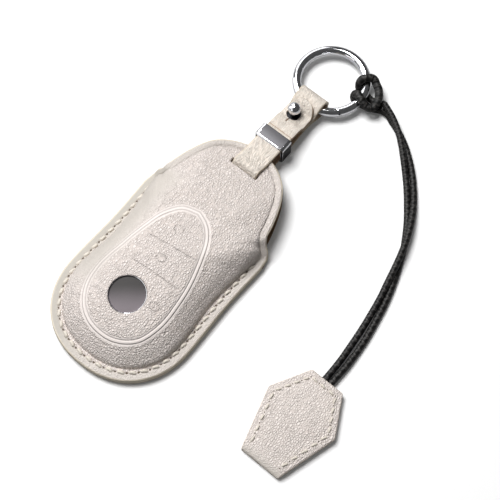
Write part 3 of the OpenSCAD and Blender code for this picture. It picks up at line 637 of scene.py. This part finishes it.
def cut_hole(bm, centre, radius, stretch=0.0, slit=0.0):
    """Opens a round hole and draws its edge on to the circle. The hole may be stretched towards the tail
    and have a slit there."""
    x, y = centre

    def off_middle(p):
        return Vector((p.x - x, p.y - min(max(p.y, y - stretch), y)))

    def in_slit(p):
        return slit > 0 and abs(p.x - x) < slit_half and y - stretch - radius - slit < p.y < y

    places = {f: f.calc_center_median() for f in bm.faces}
    gone = [f for f, p in places.items() if off_middle(p).length < radius or in_slit(p)]
    bmesh.ops.delete(bm, geom=gone, context="FACES")
    for vert in bm.verts:
        off = off_middle(vert.co)
        beside_slit = slit > 0 and vert.co.y <= y - stretch - radius * 0.96
        if vert.is_boundary and 0.1 < off.length < radius * 1.3 and not beside_slit:
            vert.co.xy += off.normalized() * (radius - off.length)


def cut_slot(bm, centre, half):
    """Opens a slot, with its edge's vertices drawn on to the rectangle."""
    def inside(p, grow=0.0):
        return abs(p.x - centre[0]) < half[0] + grow and abs(p.y - centre[1]) < half[1] + grow

    gone = [f for f in bm.faces if inside(f.calc_center_median())]
    bmesh.ops.delete(bm, geom=gone, context="FACES")
    for vert in bm.verts:
        if vert.is_boundary and inside(vert.co, 1.2):
            off = [vert.co[k] - centre[k] for k in (0, 1)]
            near = 0 if half[0] - abs(off[0]) < half[1] - abs(off[1]) else 1
            far = 1 - near
            vert.co[near] = centre[near] + math.copysign(half[near], off[near])
            vert.co[far] = centre[far] + max(-half[far], min(half[far], off[far]))


front_bm = bmesh.new()
for vert, column, row in add_grid(front_bm, columns, len(shares) - 1):
    vert.co = skin(outline[column % columns], shares[row])
bmesh.ops.remove_doubles(front_bm, verts=front_bm.verts, dist=1e-4)
cut_hole(front_bm, badge_at, badge_r)
cut_slot(front_bm, (0.0, slot_at), slot_half)
face_up(front_bm, dome_cy)
front_bm.normal_update()
marks = {name: front_bm.verts.layers.float.new(name) for name in ("edge", "drop", "crease", "score", "flat_grain_and_shade")}
front_plan = np.array([v.co.xy for v in front_bm.verts])
drop_gaps, drop_sides, score_gaps = pressed(front_plan)
inside_drop = drop_sides[np.argmin(np.linalg.norm(front_plan - badge_at - (0, badge_r + 2), axis=1))]
past_drop = np.where(drop_sides == inside_drop, 0, drop_gaps)
shoulder = 0.6
shoulder_end = 74
seam_sink = 0.2
lip_sink = 0.3
lip_bead = 0.14
edge_round = 0.3
edge_gaps, _ = to_line(front_plan, np.vstack([outline, outline[:1]]))
crease_in = np.array([mix(stitch_in, lip_w + 0.1, ease((y - seam_l + 6) / 6)) for y in front_plan[:, 1]])
crease_gaps = np.abs(edge_gaps - crease_in)
for i, vert in enumerate(front_bm.verts):
    x, y = vert.co.xy
    gap = edge_gaps[i]
    free = ease((y - seam_l) / 6)
    vert[marks["edge"]] = 1 - ease((gap - 0.25) / 0.5)
    vert[marks["drop"]] = max(0, near_mm - drop_gaps[i])
    vert[marks["crease"]] = max(0, near_mm - crease_gaps[i])
    vert[marks["score"]] = max(0, near_mm - score_gaps[i])
    # The left flank gets painted shade, with its grain flattened. The rim's grain is pressed flat and its
    # colour darkened, partly its own tone and partly painted shade, most of all on the left.
    flank_flat_and_shade = 0.7 * ease((-x - 11) / 9) * ease((y - 16) / 14)
    rim_flat_and_shade = mix(0.5, 1.0, ease((6 - x) / 24)) * mix(1, 0.5, free)
    vert[marks["flat_grain_and_shade"]] = max(flank_flat_and_shade * (1 - free), rim_flat_and_shade * ease((stitch_in + 0.3 - gap) / 0.8))
    sink = math.exp(-(crease_gaps[i] / 0.4) ** 2) * mix(seam_sink, lip_sink, free)
    outside = ease(past_drop[i] / 2.8) * ease((gap - 4.3) / 2.2) * ease((shoulder_end - y) / 14)
    sink += shoulder * outside
    sink -= lip_bead * free * ease(gap / 0.9) * ease((2.4 - gap) / 0.8)
    wave = 0.16 * noise.noise(vert.co * 0.11) + 0.06 * noise.noise(vert.co * 0.35)
    sink += wave * ease(gap / 4) * (1 - 0.6 * outside) + edge_round * (1 - ease(gap / 0.7)) ** 2
    vert.co -= vert.normal * sink
bmesh.ops.translate(front_bm, vec=(0, tail_y, 0), verts=front_bm.verts)
front = dress("cover_front", front_bm, "cover", [cover_leather, flesh_side], "cover_leather", "front_panel",
              recalculate=False)
modify(front, "SOLIDIFY", thickness=leather_t * mm, offset=-1, use_even_offset=False, material_offset=1,
       material_offset_rim=0)
print("front faces:", len(front.data.polygons))

# %% [markdown]
# ## The back
# The back is a flat sheet that rises a little where the strap runs under it. Its painted edge is a shade
# darker than the front's.

# %% The back's mesh
bend_from = case_l - mouth_r * 1.4
bend_to = case_l - mouth_r * 0.65
back_rows = 14
back_low = 0.02
back_inset = 0.06
back_leather = leather("back_leather", cover_colour, cover_valley, linear(196, 184, 164))
back_bm = bmesh.new()
for vert, column, row in add_grid(back_bm, columns, back_rows):
    away = outline[column % columns] - (0, dome_cy)
    reach = (row / back_rows) ** 0.8 * (1 - back_inset / np.linalg.norm(away))
    y = dome_cy + away[1] * reach
    vert.co = (away[0] * reach, y, back_low + back_rise * ease((y - bend_from) / (bend_to - bend_from)))
bmesh.ops.remove_doubles(back_bm, verts=back_bm.verts, dist=1e-4)
cut_slot(back_bm, (0.0, slot_at), slot_half)
face_up(back_bm, dome_cy)
edge_mark = back_bm.verts.layers.float.new("edge")
for vert in back_bm.verts:
    vert[edge_mark] = 1.0 if vert.is_boundary else 0.0
bmesh.ops.translate(back_bm, vec=(0, tail_y, 0), verts=back_bm.verts)
back = dress("cover_back", back_bm, "cover", [back_leather], "cover_leather", "back_panel", recalculate=False)
modify(back, "SOLIDIFY", thickness=(leather_t - 0.04) * mm, offset=1)
modify(back, "BEVEL", width=0.35 * mm, segments=2, limit_method="ANGLE", angle_limit=math.radians(60))
print("back faces:", len(back.data.polygons))

# %% [markdown]
# ## The painted edge
# Along the seam both edges are painted in one, so that no layer shows: a narrow band covers them.

# %% The edge's paint
paint_low = 0.25
paint_high = rim_t - 0.35
seam_columns = [i for i in range(columns) if outline[i][1] < seam_l + 1.2 * step_l]
first_gap = next(i for i, (a, b) in enumerate(zip(seam_columns, seam_columns[1:])) if b - a > 1)
seam_columns = seam_columns[first_gap + 1:] + seam_columns[:first_gap + 1]
edge_way = np.roll(outline, -1, 0) - np.roll(outline, 1, 0)
edge_out = np.stack([edge_way[:, 1], -edge_way[:, 0]], 1) / np.linalg.norm(edge_way, axis=1)[:, None]
paint_rows = 6
paint_bulge = 0.12
paint_bm = bmesh.new()
edge_mark = paint_bm.verts.layers.float.new("edge")
for vert, column, row in add_grid(paint_bm, len(seam_columns) - 1, paint_rows):
    share = row / paint_rows
    out = paint_bulge * (2 * math.sin(math.pi * share) - 1)
    x, y = outline[seam_columns[column]] + out * edge_out[seam_columns[column]]
    vert[edge_mark] = 1.0
    vert.co = (x, y + tail_y, mix(paint_low, paint_high, share))
edge_band = dress("edge_paint", paint_bm, "cover", [cover_leather], "cover_leather")
modify(edge_band, "SOLIDIFY", thickness=0.2 * mm, offset=-1)
print("painted edge:", len(edge_band.data.polygons), "faces")

# %% [markdown]
# ## Stitches
# Each stitch is a short plied thread that comes out of one needle hole and dips into the next: a grid
# wrapped into a tube, with its ends bent down.

# %% Stitch maker
thread_r = 0.66
slant_out = 0.26
stitch_pitch = 4.55


def stitch_in_place(bm, start, end, over, normal, size=thread_r):
    """Adds one stitch between two holes; over is how high its middle stands over the leather."""
    grid = add_grid(bm, 8, 7)
    way = (end - start).normalized()
    side = normal.cross(way)
    length = (end - start).length
    for vert, column, row in grid:
        turn = math.tau * column / 8
        share = row / 7
        near_tip = 2 * abs(share - 0.5)
        radius = size * (1 + 0.13 * math.cos(2 * turn + 9 * share)) * (1 - near_tip ** 6 * 0.75)
        lift = over - 0.62 * near_tip ** 3
        middle = start + way * length * mix(0.14, 0.86, share) + normal * lift
        middle += side * slant_out * (1 - 2 * share)
        vert.co = middle + radius * (math.cos(turn) * side + math.sin(turn) * normal)
    bmesh.ops.remove_doubles(bm, verts=[row[0] for row in grid], dist=1e-5)


def hole_in_place(bm, place, normal, size=0.46):
    """Adds one needle hole: a low dark dish on the leather, whose colour is painted shade for the hole's
    inside.
    """
    turn = normal.to_track_quat("Z", "Y").to_matrix().to_4x4()
    at = Matrix.Translation(place) @ turn @ Matrix.Diagonal((1, 1, 0.25, 1))
    bmesh.ops.create_uvsphere(bm, u_segments=8, v_segments=4, radius=size, matrix=at)


def inset_line(line, distance):
    way = np.gradient(line, axis=0)
    way /= np.linalg.norm(way, axis=1)[:, None]
    return line + distance * np.stack([-way[:, 1], way[:, 0]], 1)


seam_half = sorted((p for p in outline_line() if p[0] >= 0 and p[1] < seam_l), key=lambda p: p[1])
seam_line = np.array([(-x, y) for x, y in reversed(seam_half)] + [(x, y) for x, y in seam_half[1:]])
seam_length = np.linalg.norm(np.diff(seam_line, axis=0), axis=1).sum()
seam_holes = even_steps(inset_line(seam_line, stitch_in), round(seam_length / stitch_pitch)) + (0, tail_y)
print("needle holes:", len(seam_holes), "first", seam_holes[0].round(2), "last", seam_holes[-1].round(2))


# %% The cover's stitches
up = Vector((0, 0, 1))
under_low = 0.42
thread_bm = bmesh.new()
for a, b in zip(seam_holes, seam_holes[1:]):
    for low, normal, over in ((rim_t - 0.16, up, 0.3), (under_low, -up, -0.22)):
        stitch_in_place(thread_bm, Vector((*a, low)), Vector((*b, low)), over, normal)
hole_bm = bmesh.new()
for hole in seam_holes:
    hole_in_place(hole_bm, Vector((*hole, rim_t - 0.13)), up)
dress("cover_stitches", thread_bm, "cover", [thread_wax], "thread", "seam_thread", sharp=60)
dress("needle_holes", hole_bm, "cover", [hole_shade], "cover_leather")

# %% [markdown]
# ## The blank badge
# A thin metal disc with a raised rim lies in the round opening. It is left bare.

# %% The badge
badge_face_r = 6.7
badge_edge = [(0.0, 0.12), (3.0, 0.08), (6.2, -0.1), (6.65, -0.12), (6.95, 0.42), (7.1, 0.46), (7.22, 0.3),
              (7.22, -0.5)]
badge_bm = turned_bm(badge_edge, 72)
badge_rise = crown_at(badge_at[1] + badge_r) - crown_at(badge_at[1] - badge_r)
badge_tilt = math.atan2(badge_rise, 2 * badge_r)
badge_spot = Matrix.Translation((badge_at[0], badge_at[1] + tail_y, crown_at(badge_at[1]) - 0.75))
bmesh.ops.transform(badge_bm, matrix=badge_spot @ Matrix.Rotation(badge_tilt, 4, "X"), verts=badge_bm.verts)
badge = dress("badge_plate", badge_bm, "cover", [badge_plate, chrome_plate], "badge_metal", "badge_disc")
for face in badge.data.polygons:
    off = (face.center - badge_spot.translation * mm).xy.length
    face.material_index = 1 if off > badge_face_r * mm else 0
print("badge tilt:", round(math.degrees(badge_tilt), 2))

# %% [markdown]
# ## The strap
# One strip of leather leaves the keeper, runs over the front, goes down through both slots, comes out
# under the cover, folds round the ring and ends under the tongue. A narrow grid follows that path.

# %% The strap's path
strap_t = 1.2
strap_w = 11.2
fold_w = 12.0
fit_gap = 0.05
keeper_l = 5.5
keeper_h = 10.7
keeper_wall = 0.8
keeper_at = case_l + 4.3
stud_at = case_l + 21.6
tongue_at = keeper_at + keeper_l + 1.6
tongue_past = 6.5
flange_t = 0.4
stud_low = 3
stud_mid = stud_low + strap_t + fit_gap
front_low = keeper_h - keeper_wall - strap_t / 2
hinge_z = front_low - 0.65 * strap_t
under_z = back_rise - strap_t / 2 - 2 * fit_gap
down_at = slot_at - 0.4 * strap_t
ring_r = (31 - 3.6) / 2
ring_stray = ring_r - math.sqrt(ring_r ** 2 - (fold_w / 2 + 0.7) ** 2)
fold_at = ring_at - ring_r + ring_stray / 2 + 4 * fit_gap
fold_r = 2.95 + strap_t / 2


def spots(at, level, *steps):
    """Places on a path, in thicknesses of the strap from a place along the cover and from a height."""
    return [(at + along * strap_t, level + rise * strap_t) for along, rise in steps]


def strap_path():
    over = [y for y, _ in spots(case_l, 0, (-1, 0), (-2.9, 0), (-5, 0)) + spots(slot_at, 0, (1.15, 0))]
    over = [(y, crown_at(y) + strap_t / 2 + 2 * fit_gap) for y in over]
    down = [(down_at, z) for z in (lip_end_h, back_rise + rim_t, back_rise + leather_t)]
    fold = [(fold_at + fold_r * math.cos(math.radians(a)), ring_z + fold_r * math.sin(math.radians(a)))
            for a in range(-112, 113, 28)]
    slack = fit_gap / strap_t
    return [(tongue_at - 2 * fit_gap, hinge_z), *spots(keeper_at + keeper_l, front_low, (0, -0.55)),
            *spots(keeper_at, front_low, (0, -0.32)), *spots(case_l, front_low, (1, -0.12)), *over,
            *spots(slot_at, crown_at(slot_at), (-2 * slack, -0.75)), *down,
            *spots(slot_at, back_rise, (-0.1, 0.2), (0.5, -0.45)),
            *spots(slot_at, under_z, (1.25, -2 * slack), (2.5, 0)),
            *spots(case_l, under_z, (-2.9, 0), (-0.1, 0.04), (1.2, 0.36)),
            *spots(keeper_at, under_z, (0, 0.52)), *spots(keeper_at + keeper_l, under_z, (0, 0.6)),
            *spots(stud_at, stud_low, (-5, -0.33), (-2.6, 0), (0, 0), (2.2, -slack), (3.6, -0.6)),
            *spots(stud_at, stud_low, (4.8, -1.25)), *fold,
            *spots(stud_at, stud_mid, (4.4, 1.75), (3.5, 0.7), (2.5, slack), (1.9, 0), (1.2, 0)),
            *spots(stud_at, stud_mid, (0, 0), (-2.75, 0))]


def tongue_path():
    low = stud_mid + strap_t + flange_t + fit_gap
    return [*spots(tongue_at, hinge_z, (0, 0), (2.2, -0.38)), *spots(stud_at, hinge_z, (-4.2, -1)),
            *spots(stud_at, low, (-2.5, 0.15), (-1.2, 0), (1.3, 0), (2.3, 0.38), (3.2, 1.2), (4.2, 2.1)),
            *spots(stud_at + tongue_past, low, (0, 2.5))]


def strap_grid(path, across, half_width, spacing=0.45):
    """A grid that follows a path; half_width gives its half width at a place along the cover."""
    line = np.array(smooth_line(path, 12))
    length = np.linalg.norm(np.diff(line, axis=0), axis=1).sum()
    rows = round(length / spacing)
    even = even_steps(line, rows)
    bm = bmesh.new()
    edge_mark = bm.verts.layers.float.new("edge")
    for vert, column, row in add_grid(bm, across, rows):
        side = 2 * vert.co.x
        y, z = even[row]
        half = half_width(y)
        vert[edge_mark] = 1 - ease(half * (1 - abs(side)) / 0.35)
        vert.co = (side * half, y + tail_y, z)
    print("strap piece:", round(length, 1), "mm long")
    return bm


def band_half(y):
    return mix(strap_w, fold_w, ease((y - stud_at + strap_t) / (5 * strap_t))) / 2


# %% The strap and its tongue
band_bm = strap_grid(strap_path(), 14, band_half)
face_up(band_bm, case_l - 4 + tail_y)
band = dress("strap", band_bm, "cover", [strap_leather, strap_core], "strap_leather", "strap_band", sharp=50,
             recalculate=False)
modify(band, "SOLIDIFY", thickness=strap_t * 0.97 * mm, offset=0, material_offset=1, material_offset_rim=0)
modify(band, "BEVEL", width=0.28 * mm, segments=2, limit_method="ANGLE", angle_limit=math.radians(60))

hole_r = 2.7
hole_slip = 0.75
slit_l = 2.2
stud_x = -1.3


def tongue_half(y):
    end_r = strap_w / 2
    past = y - (stud_at + tongue_past - end_r)
    return end_r if past <= 0 else max(0.02, math.sqrt(max(0.0, end_r ** 2 - past ** 2)))


tongue_bm = strap_grid(tongue_path(), 44, tongue_half, 0.26)
cut_hole(tongue_bm, (stud_x, stud_at + tail_y), hole_r, hole_slip, slit_l)
face_up(tongue_bm, tongue_at + 1.6 + tail_y)
tongue = dress("strap_tongue_skin", tongue_bm, "tongue", [strap_leather, strap_core], "strap_leather",
               "strap_tongue", sharp=50, recalculate=False)
modify(tongue, "SOLIDIFY", thickness=strap_t * 0.97 * mm, offset=0, material_offset=1, material_offset_rim=1)

# %% [markdown]
# ## The keeper
# A rectangular loop of metal holds the strap's layers. Its faces are satin, and its bevelled corners and
# rims are polished.

# %% The keeper
keeper_in = strap_w + 0.7
keeper_floor = 0.15
corner_r = 1.3
rim_r = 0.3
keeper_bm = bmesh.new()
bmesh.ops.create_cube(keeper_bm, size=1.0)
keeper_size = (keeper_in + 2 * keeper_wall, keeper_l, keeper_h - keeper_floor)
bmesh.ops.scale(keeper_bm, vec=keeper_size, verts=keeper_bm.verts)
ends = [f for f in keeper_bm.faces if abs(f.normal.y) > 0.9]
bmesh.ops.inset_region(keeper_bm, faces=ends, thickness=keeper_wall, use_even_offset=True)
bmesh.ops.bridge_loops(keeper_bm, edges=list({e for f in ends for e in f.edges}))
bmesh.ops.delete(keeper_bm, geom=ends, context="FACES_ONLY")


def keeper_edges(lengthwise):
    return [e for e in sharp_edges(keeper_bm, 1)
            if (abs(e.verts[0].co.y - e.verts[1].co.y) > 0.5) == lengthwise]


outer = [e for e in keeper_edges(True) if all(abs(v.co.x) > keeper_in / 2 + 0.1 for v in e.verts)]
for face in round_off(keeper_bm, outer, corner_r, 6):
    face.material_index = 1
for face in round_off(keeper_bm, keeper_edges(False), rim_r, 2):
    face.material_index = 1
keeper_spot = Vector((0, keeper_at + keeper_l / 2 + tail_y, (keeper_h + keeper_floor) / 2))
bmesh.ops.translate(keeper_bm, vec=keeper_spot, verts=keeper_bm.verts)
keeper = dress("keeper_loop", keeper_bm, "keeper_body", [satin_plate, chrome_plate], "satin_metal", "keeper")
print("keeper faces:", len(keeper.data.polygons))

# %% [markdown]
# ## The ball stud
# The ball, its neck and its flange are turned from one bar, so a profile is spun round its axis.

# %% The stud
ball_r = 2.55
neck_r = 1.6
neck_l = 2.9
flange_r = 2.7
base_z = stud_mid + strap_t / 2
flange_top = base_z + flange_t
ball_z = flange_top + neck_l + ball_r - 0.6
stud_profile = [(0.0, base_z), (flange_r - 0.1, base_z), (flange_r, base_z + 0.1),
                (flange_r, flange_top - 0.1), (flange_r - 0.1, flange_top), (neck_r + 0.15, flange_top),
                (neck_r, flange_top + 0.15)]
neck_turn = -math.acos(neck_r / ball_r)
stud_profile += [(ball_r * math.cos(a), ball_z + ball_r * math.sin(a))
                 for a in np.linspace(neck_turn, math.pi / 2, 22)]
stud_bm = turned_bm(stud_profile, 56)
bmesh.ops.translate(stud_bm, vec=(stud_x, stud_at + tail_y, 0), verts=stud_bm.verts)
stud = dress("ball_stud_turned", stud_bm, "cover", [chrome_plate, dark_metal_and_shade], "chrome_metal", "ball_stud")
# The neck and the flange take the dark finish: painted shade under the ball, which is turned from the same
# bar.
for face in stud.data.polygons:
    face.material_index = 1 if face.center.z < (ball_z - 0.7 * ball_r) * mm else 0

# %% [markdown]
# ## The ring and its gate
# The ring is round wire. A gate on its right side turns inwards about a pin and has a slanting seam at
# each end. Each stretch of wire is a circle spun part of the way round the ring's centre.

# %% The ring
wire_r = 1.8
pin_turn = -44.0
gate_end = -9.0
seam_gap = 0.35
slant = 3.2


def wire_arc(start, end):
    """Wire from one angle to another. The slant of its ends is in degrees of turn to a millimetre."""
    bm = bmesh.new()
    at = Matrix.Translation((ring_r, 0, 0)) @ Matrix.Rotation(math.pi / 2, 4, "X")
    bmesh.ops.create_circle(bm, cap_ends=False, segments=40, radius=wire_r, matrix=at)
    steps = max(6, round(abs(end - start) / 2.5))
    swept = bmesh.ops.spin(bm, geom=list(bm.edges) + list(bm.verts), axis=(0, 0, 1), cent=(0, 0, 0),
                           angle=math.radians(end - start), steps=steps)
    far = [e for e in swept["geom_last"] if isinstance(e, bmesh.types.BMEdge)]
    near = [e for e in bm.edges if e.is_boundary and e not in far]
    bmesh.ops.contextual_create(bm, geom=far)
    bmesh.ops.contextual_create(bm, geom=near)
    bmesh.ops.rotate(bm, cent=(0, 0, 0), matrix=Matrix.Rotation(math.radians(start), 3, "Z"), verts=bm.verts)
    for vert in bm.verts:
        angle = math.degrees(math.atan2(vert.co.y, vert.co.x))
        past = (angle - start) % 360
        share = past / (end - start)
        lean = slant * (1 - ease(share * 6) + ease((share - 1) * 6 + 1))
        turn = math.radians(lean * (vert.co.xy.length - ring_r))
        vert.co = Matrix.Rotation(turn, 3, "Z") @ vert.co
    round_off(bm, sharp_edges(bm, 0.9), 0.1, 2)
    bmesh.ops.translate(bm, vec=ring_centre, verts=bm.verts)
    return bm


ring_bm = wire_arc(gate_end + seam_gap, 360 + pin_turn - seam_gap)
dress("ring_wire", ring_bm, "ring", [chrome_plate], "chrome_metal", "ring_body", sharp=35)
gate_bm = wire_arc(pin_turn + seam_gap, gate_end - seam_gap)
dress("ring_gate_wire", gate_bm, "gate", [chrome_plate], "chrome_metal", "ring_gate", sharp=35)

# %% The pin's head
pin_bm = bmesh.new()
head_r = 0.45
head_turn = math.radians(pin_turn + 3)
head_rise = math.radians(27)
head_out = ring_r + (wire_r - head_r / 3) * math.cos(head_rise)
pin_place = Vector((head_out * math.cos(head_turn), head_out * math.sin(head_turn),
                    wire_r * math.sin(head_rise)))
bmesh.ops.create_uvsphere(pin_bm, u_segments=16, v_segments=8, radius=head_r,
                          matrix=Matrix.Translation(ring_centre + pin_place))
dress("pin_head", pin_bm, "ring", [dark_metal_and_shade], "chrome_metal")

# %% [markdown]
# ## The tag
# One piece of leather is folded at its far end, closed over the cord's two ends and stitched round the
# other edges. It is a flat block that is rounded off, most of all at the fold.

# %% The tag
tag_l = 38.5
tag_w = 30.5
tag_top_w = 14.2
tag_fold_w = 16.8
tag_shoulder = 23.7
tag_corners = [(-tag_top_w / 2, 0), (-tag_w / 2, tag_shoulder - tag_l), (-tag_fold_w / 2, -tag_l),
               (tag_fold_w / 2, -tag_l), (tag_w / 2, tag_shoulder - tag_l), (tag_top_w / 2, 0)]
tag_low = 0.02
tag_bm = bmesh.new()
face = tag_bm.faces.new([tag_bm.verts.new((x, y, tag_low)) for x, y in tag_corners])
raised = bmesh.ops.extrude_face_region(tag_bm, geom=[face])["geom"]
raised = [v for v in raised if isinstance(v, bmesh.types.BMVert)]
bmesh.ops.translate(tag_bm, vec=(0, 0, 2 * tag_leaf - tag_low), verts=raised)
bmesh.ops.recalc_face_normals(tag_bm, faces=tag_bm.faces)
uprights = [e for e in tag_bm.edges if abs((e.verts[0].co - e.verts[1].co).normalized().z) > 0.9]
round_off(tag_bm, uprights, 0.5, 3)
fold_edges = [e for e in tag_bm.edges if all(abs(v.co.y + tag_l) < 0.01 for v in e.verts)
              and abs(e.verts[0].co.z - e.verts[1].co.z) < 0.01 and e.calc_length() > 5]
round_off(tag_bm, fold_edges, 1.5, 7)
round_off(tag_bm, sharp_edges(tag_bm, 1.2), 0.32, 3)
fold_strips = 9
strip_w = 0.4
fold_drop = 1.3
for strip in range(1, fold_strips + 1):
    everything = tag_bm.verts[:] + tag_bm.edges[:] + tag_bm.faces[:]
    cut_at = (0, strip_w * strip - tag_l, 0)
    bmesh.ops.bisect_plane(tag_bm, geom=everything, plane_co=cut_at, plane_no=(0, 1, 0))
edge_mark = tag_bm.verts.layers.float.new("edge")
fold_flat_and_shade_mark = tag_bm.verts.layers.float.new("flat_grain_and_shade")
for vert in tag_bm.verts:
    into_fold = min(1, max(0, 1 - (vert.co.y + tag_l) / (strip_w * fold_strips)))
    vert[edge_mark] = 0.0 if abs(vert.co.z - tag_leaf) > tag_leaf - 0.02 else 0.8
    # Towards the fold the grain flattens and the colour darkens: painted shade on the rounded end.
    vert[fold_flat_and_shade_mark] = 0.7 * into_fold
    if vert.co.z > tag_leaf:
        vert.co.z -= fold_drop * (1 - math.sqrt(1 - into_fold ** 2)) * (vert.co.z / tag_leaf - 1)
bmesh.ops.transform(tag_bm, matrix=tag_place, verts=tag_bm.verts)
tag = dress("tag_folded", tag_bm, "lanyard", [tag_leather], "cover_leather", "tag_leather")

# %% The tag's stitches
tag_stitch_in = 2.5
tag_pitch = 3.9
tag_thread_r = 0.46
tag_hole_r = 0.28
tag_run = [tag_corners[i] for i in (3, 4, 5, 0, 1, 2)]


def inset_corners(corners, distance):
    """The line inside a chain of corners, whose ends stop short by the same distance."""
    corners = [Vector(corner) for corner in corners]
    ways = [(b - a).normalized() for a, b in zip(corners, corners[1:])]
    inward = [Vector((-way.y, way.x)) for way in ways]
    line = [corners[0] + distance * (inward[0] + ways[0])]
    for corner, before, after in zip(corners[1:], inward, inward[1:]):
        line.append(corner + distance * (before + after) / (1 + before.dot(after)))
    return line + [corners[-1] + distance * (inward[-1] - ways[-1])]


tag_thread_bm = bmesh.new()
tag_hole_bm = bmesh.new()
tag_line = inset_corners(tag_run, tag_stitch_in)
for a, b in zip(tag_line, tag_line[1:]):
    count = round((b - a).length / tag_pitch)
    for i in range(count):
        ends = [tag_place @ Vector((*a.lerp(b, (i + k) / count), 0)) for k in (0, 1)]
        for low, normal, over in ((2 * tag_leaf - 0.08, up, 0.24), (under_low, -up, -0.22)):
            places = (Vector((p.x, p.y, low)) for p in ends)
            stitch_in_place(tag_thread_bm, *places, over, normal, tag_thread_r)
        hole_in_place(tag_hole_bm, ends[0] + up * (2 * tag_leaf - 0.02), up, tag_hole_r)
tag_stitches = dress("tag_stitches", tag_thread_bm, "lanyard", [thread_wax], "thread", "tag_thread", sharp=60)
tag_holes = dress("tag_needle_holes", tag_hole_bm, "lanyard", [hole_shade], "cover_leather")

# %% [markdown]
# ## The cord's runs
# The photograph shows both runs from end to end, so it gives their lengths. They end in the tag. Here
# each run's start and length are only turned into metres.

for run, length, line in runs:
    line[0] * mm
    length * mm

# %% [markdown]
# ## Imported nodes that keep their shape
# The linings, the screw, the pin, the spring and the cord's glued ends only get their finishes.

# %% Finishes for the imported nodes
finishes = [(cover_leather, "front_panel"), (back_leather, "back_panel"), (tag_leather, "tag_leather"),
            (strap_leather, "strap_band strap_tongue"), (flesh_side, "front_lining back_lining"),
            (thread_wax, "seam_thread tag_thread"), (badge_plate, "badge_disc"), (satin_plate, "keeper"),
            (chrome_plate, "ball_stud stud_screw gate_pin ring_body ring_gate"),
            (dark_metal_and_shade, "gate_spring"),
            (cord_wax, "cord_hitch cord_run_a cord_run_b cord_ends")]
for material, names in finishes:
    for name in names.split():
        for node_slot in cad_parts[name].material_slots:
            node_slot.material = material

# %% [markdown]
# ## Floor, lamps and surroundings
# A pale floor keeps the soft shadow. The key lamp is a wide soft box at the picture's upper left. Seen
# directly, floor and surroundings are white; what lights the object stays at a plain level.

# %% Floor
floor_bm = bmesh.new()
bmesh.ops.create_grid(floor_bm, x_segments=1, y_segments=1, size=2000)
floor_mesh = mesh_from("floor", floor_bm)
floor = bpy.data.objects.new("floor", floor_mesh)
bpy.context.scene.collection.objects.link(floor)
floor.location.z = -0.05 * mm
floor_stuff = Stuff("floor_paper", Roughness=0.9, Specular_IOR_Level=0.1, Emission_Strength=0.06)
camera_ray = floor_stuff.node("ShaderNodeLightPath", output="Is Camera Ray")
glossy_ray = floor_stuff.node("ShaderNodeLightPath", output="Is Glossy Ray")
grey = floor_stuff.mix(glossy_ray, (0.35, 0.35, 0.35), (0.5, 0.5, 0.5))
floor_stuff.feed("Base Color", floor_stuff.mix(camera_ray, grey, (0.9, 0.9, 0.9)))
floor_stuff.feed("Emission Color", floor_stuff.mix(camera_ray, (0, 0, 0), (1, 1, 1)))
floor_mesh.materials.append(floor_stuff.material)


# %% Lamps
def lamp(name, right, unshaded_top, height, size, watts, on_matt=True):
    """A square lamp that faces the object, placed by the picture's directions."""
    data = bpy.data.lights.new(name, "AREA")
    data.size = size * mm
    data.energy = watts
    light = bpy.data.objects.new(name, data)
    light.location = view_centre + (right * picture_right + unshaded_top * picture_up + height * up) * mm
    light.rotation_euler = (light.location - view_centre).to_track_quat("Z", "Y").to_euler()
    light.visible_diffuse = on_matt
    bpy.context.scene.collection.objects.link(light)


lamp("key", -262, 272, 838, 470, 11.3)
for side, place, size, watts in (("left", (-560, 120, 520), 640, 1.6), ("back", (-260, 760, 430), 640, 2.4),
                                 ("front", (-620, -440, 280), 420, 0.7), ("low", (-640, 260, 200), 400, 1.4)):
    lamp(side + " box for the metal", *place, size, watts, on_matt=False)

# %% Surroundings
world = bpy.data.worlds.new("studio")
bpy.context.scene.world = world
world.use_nodes = True
sky = world.node_tree
strength = sky.nodes.new("ShaderNodeMix")
strength.inputs["A"].default_value = 0.08
strength.inputs["B"].default_value = 1.0
sky.links.new(sky.nodes.new("ShaderNodeLightPath").outputs["Is Camera Ray"], strength.inputs["Factor"])
sky.links.new(strength.outputs["Result"], sky.nodes["Background"].inputs["Strength"])
sky.nodes["Background"].inputs["Color"].default_value = (1, 1, 1, 1)

# %% [markdown]
# ## The last step
# The view layer is brought up to date.

# %% Update
bpy.context.view_layer.update()
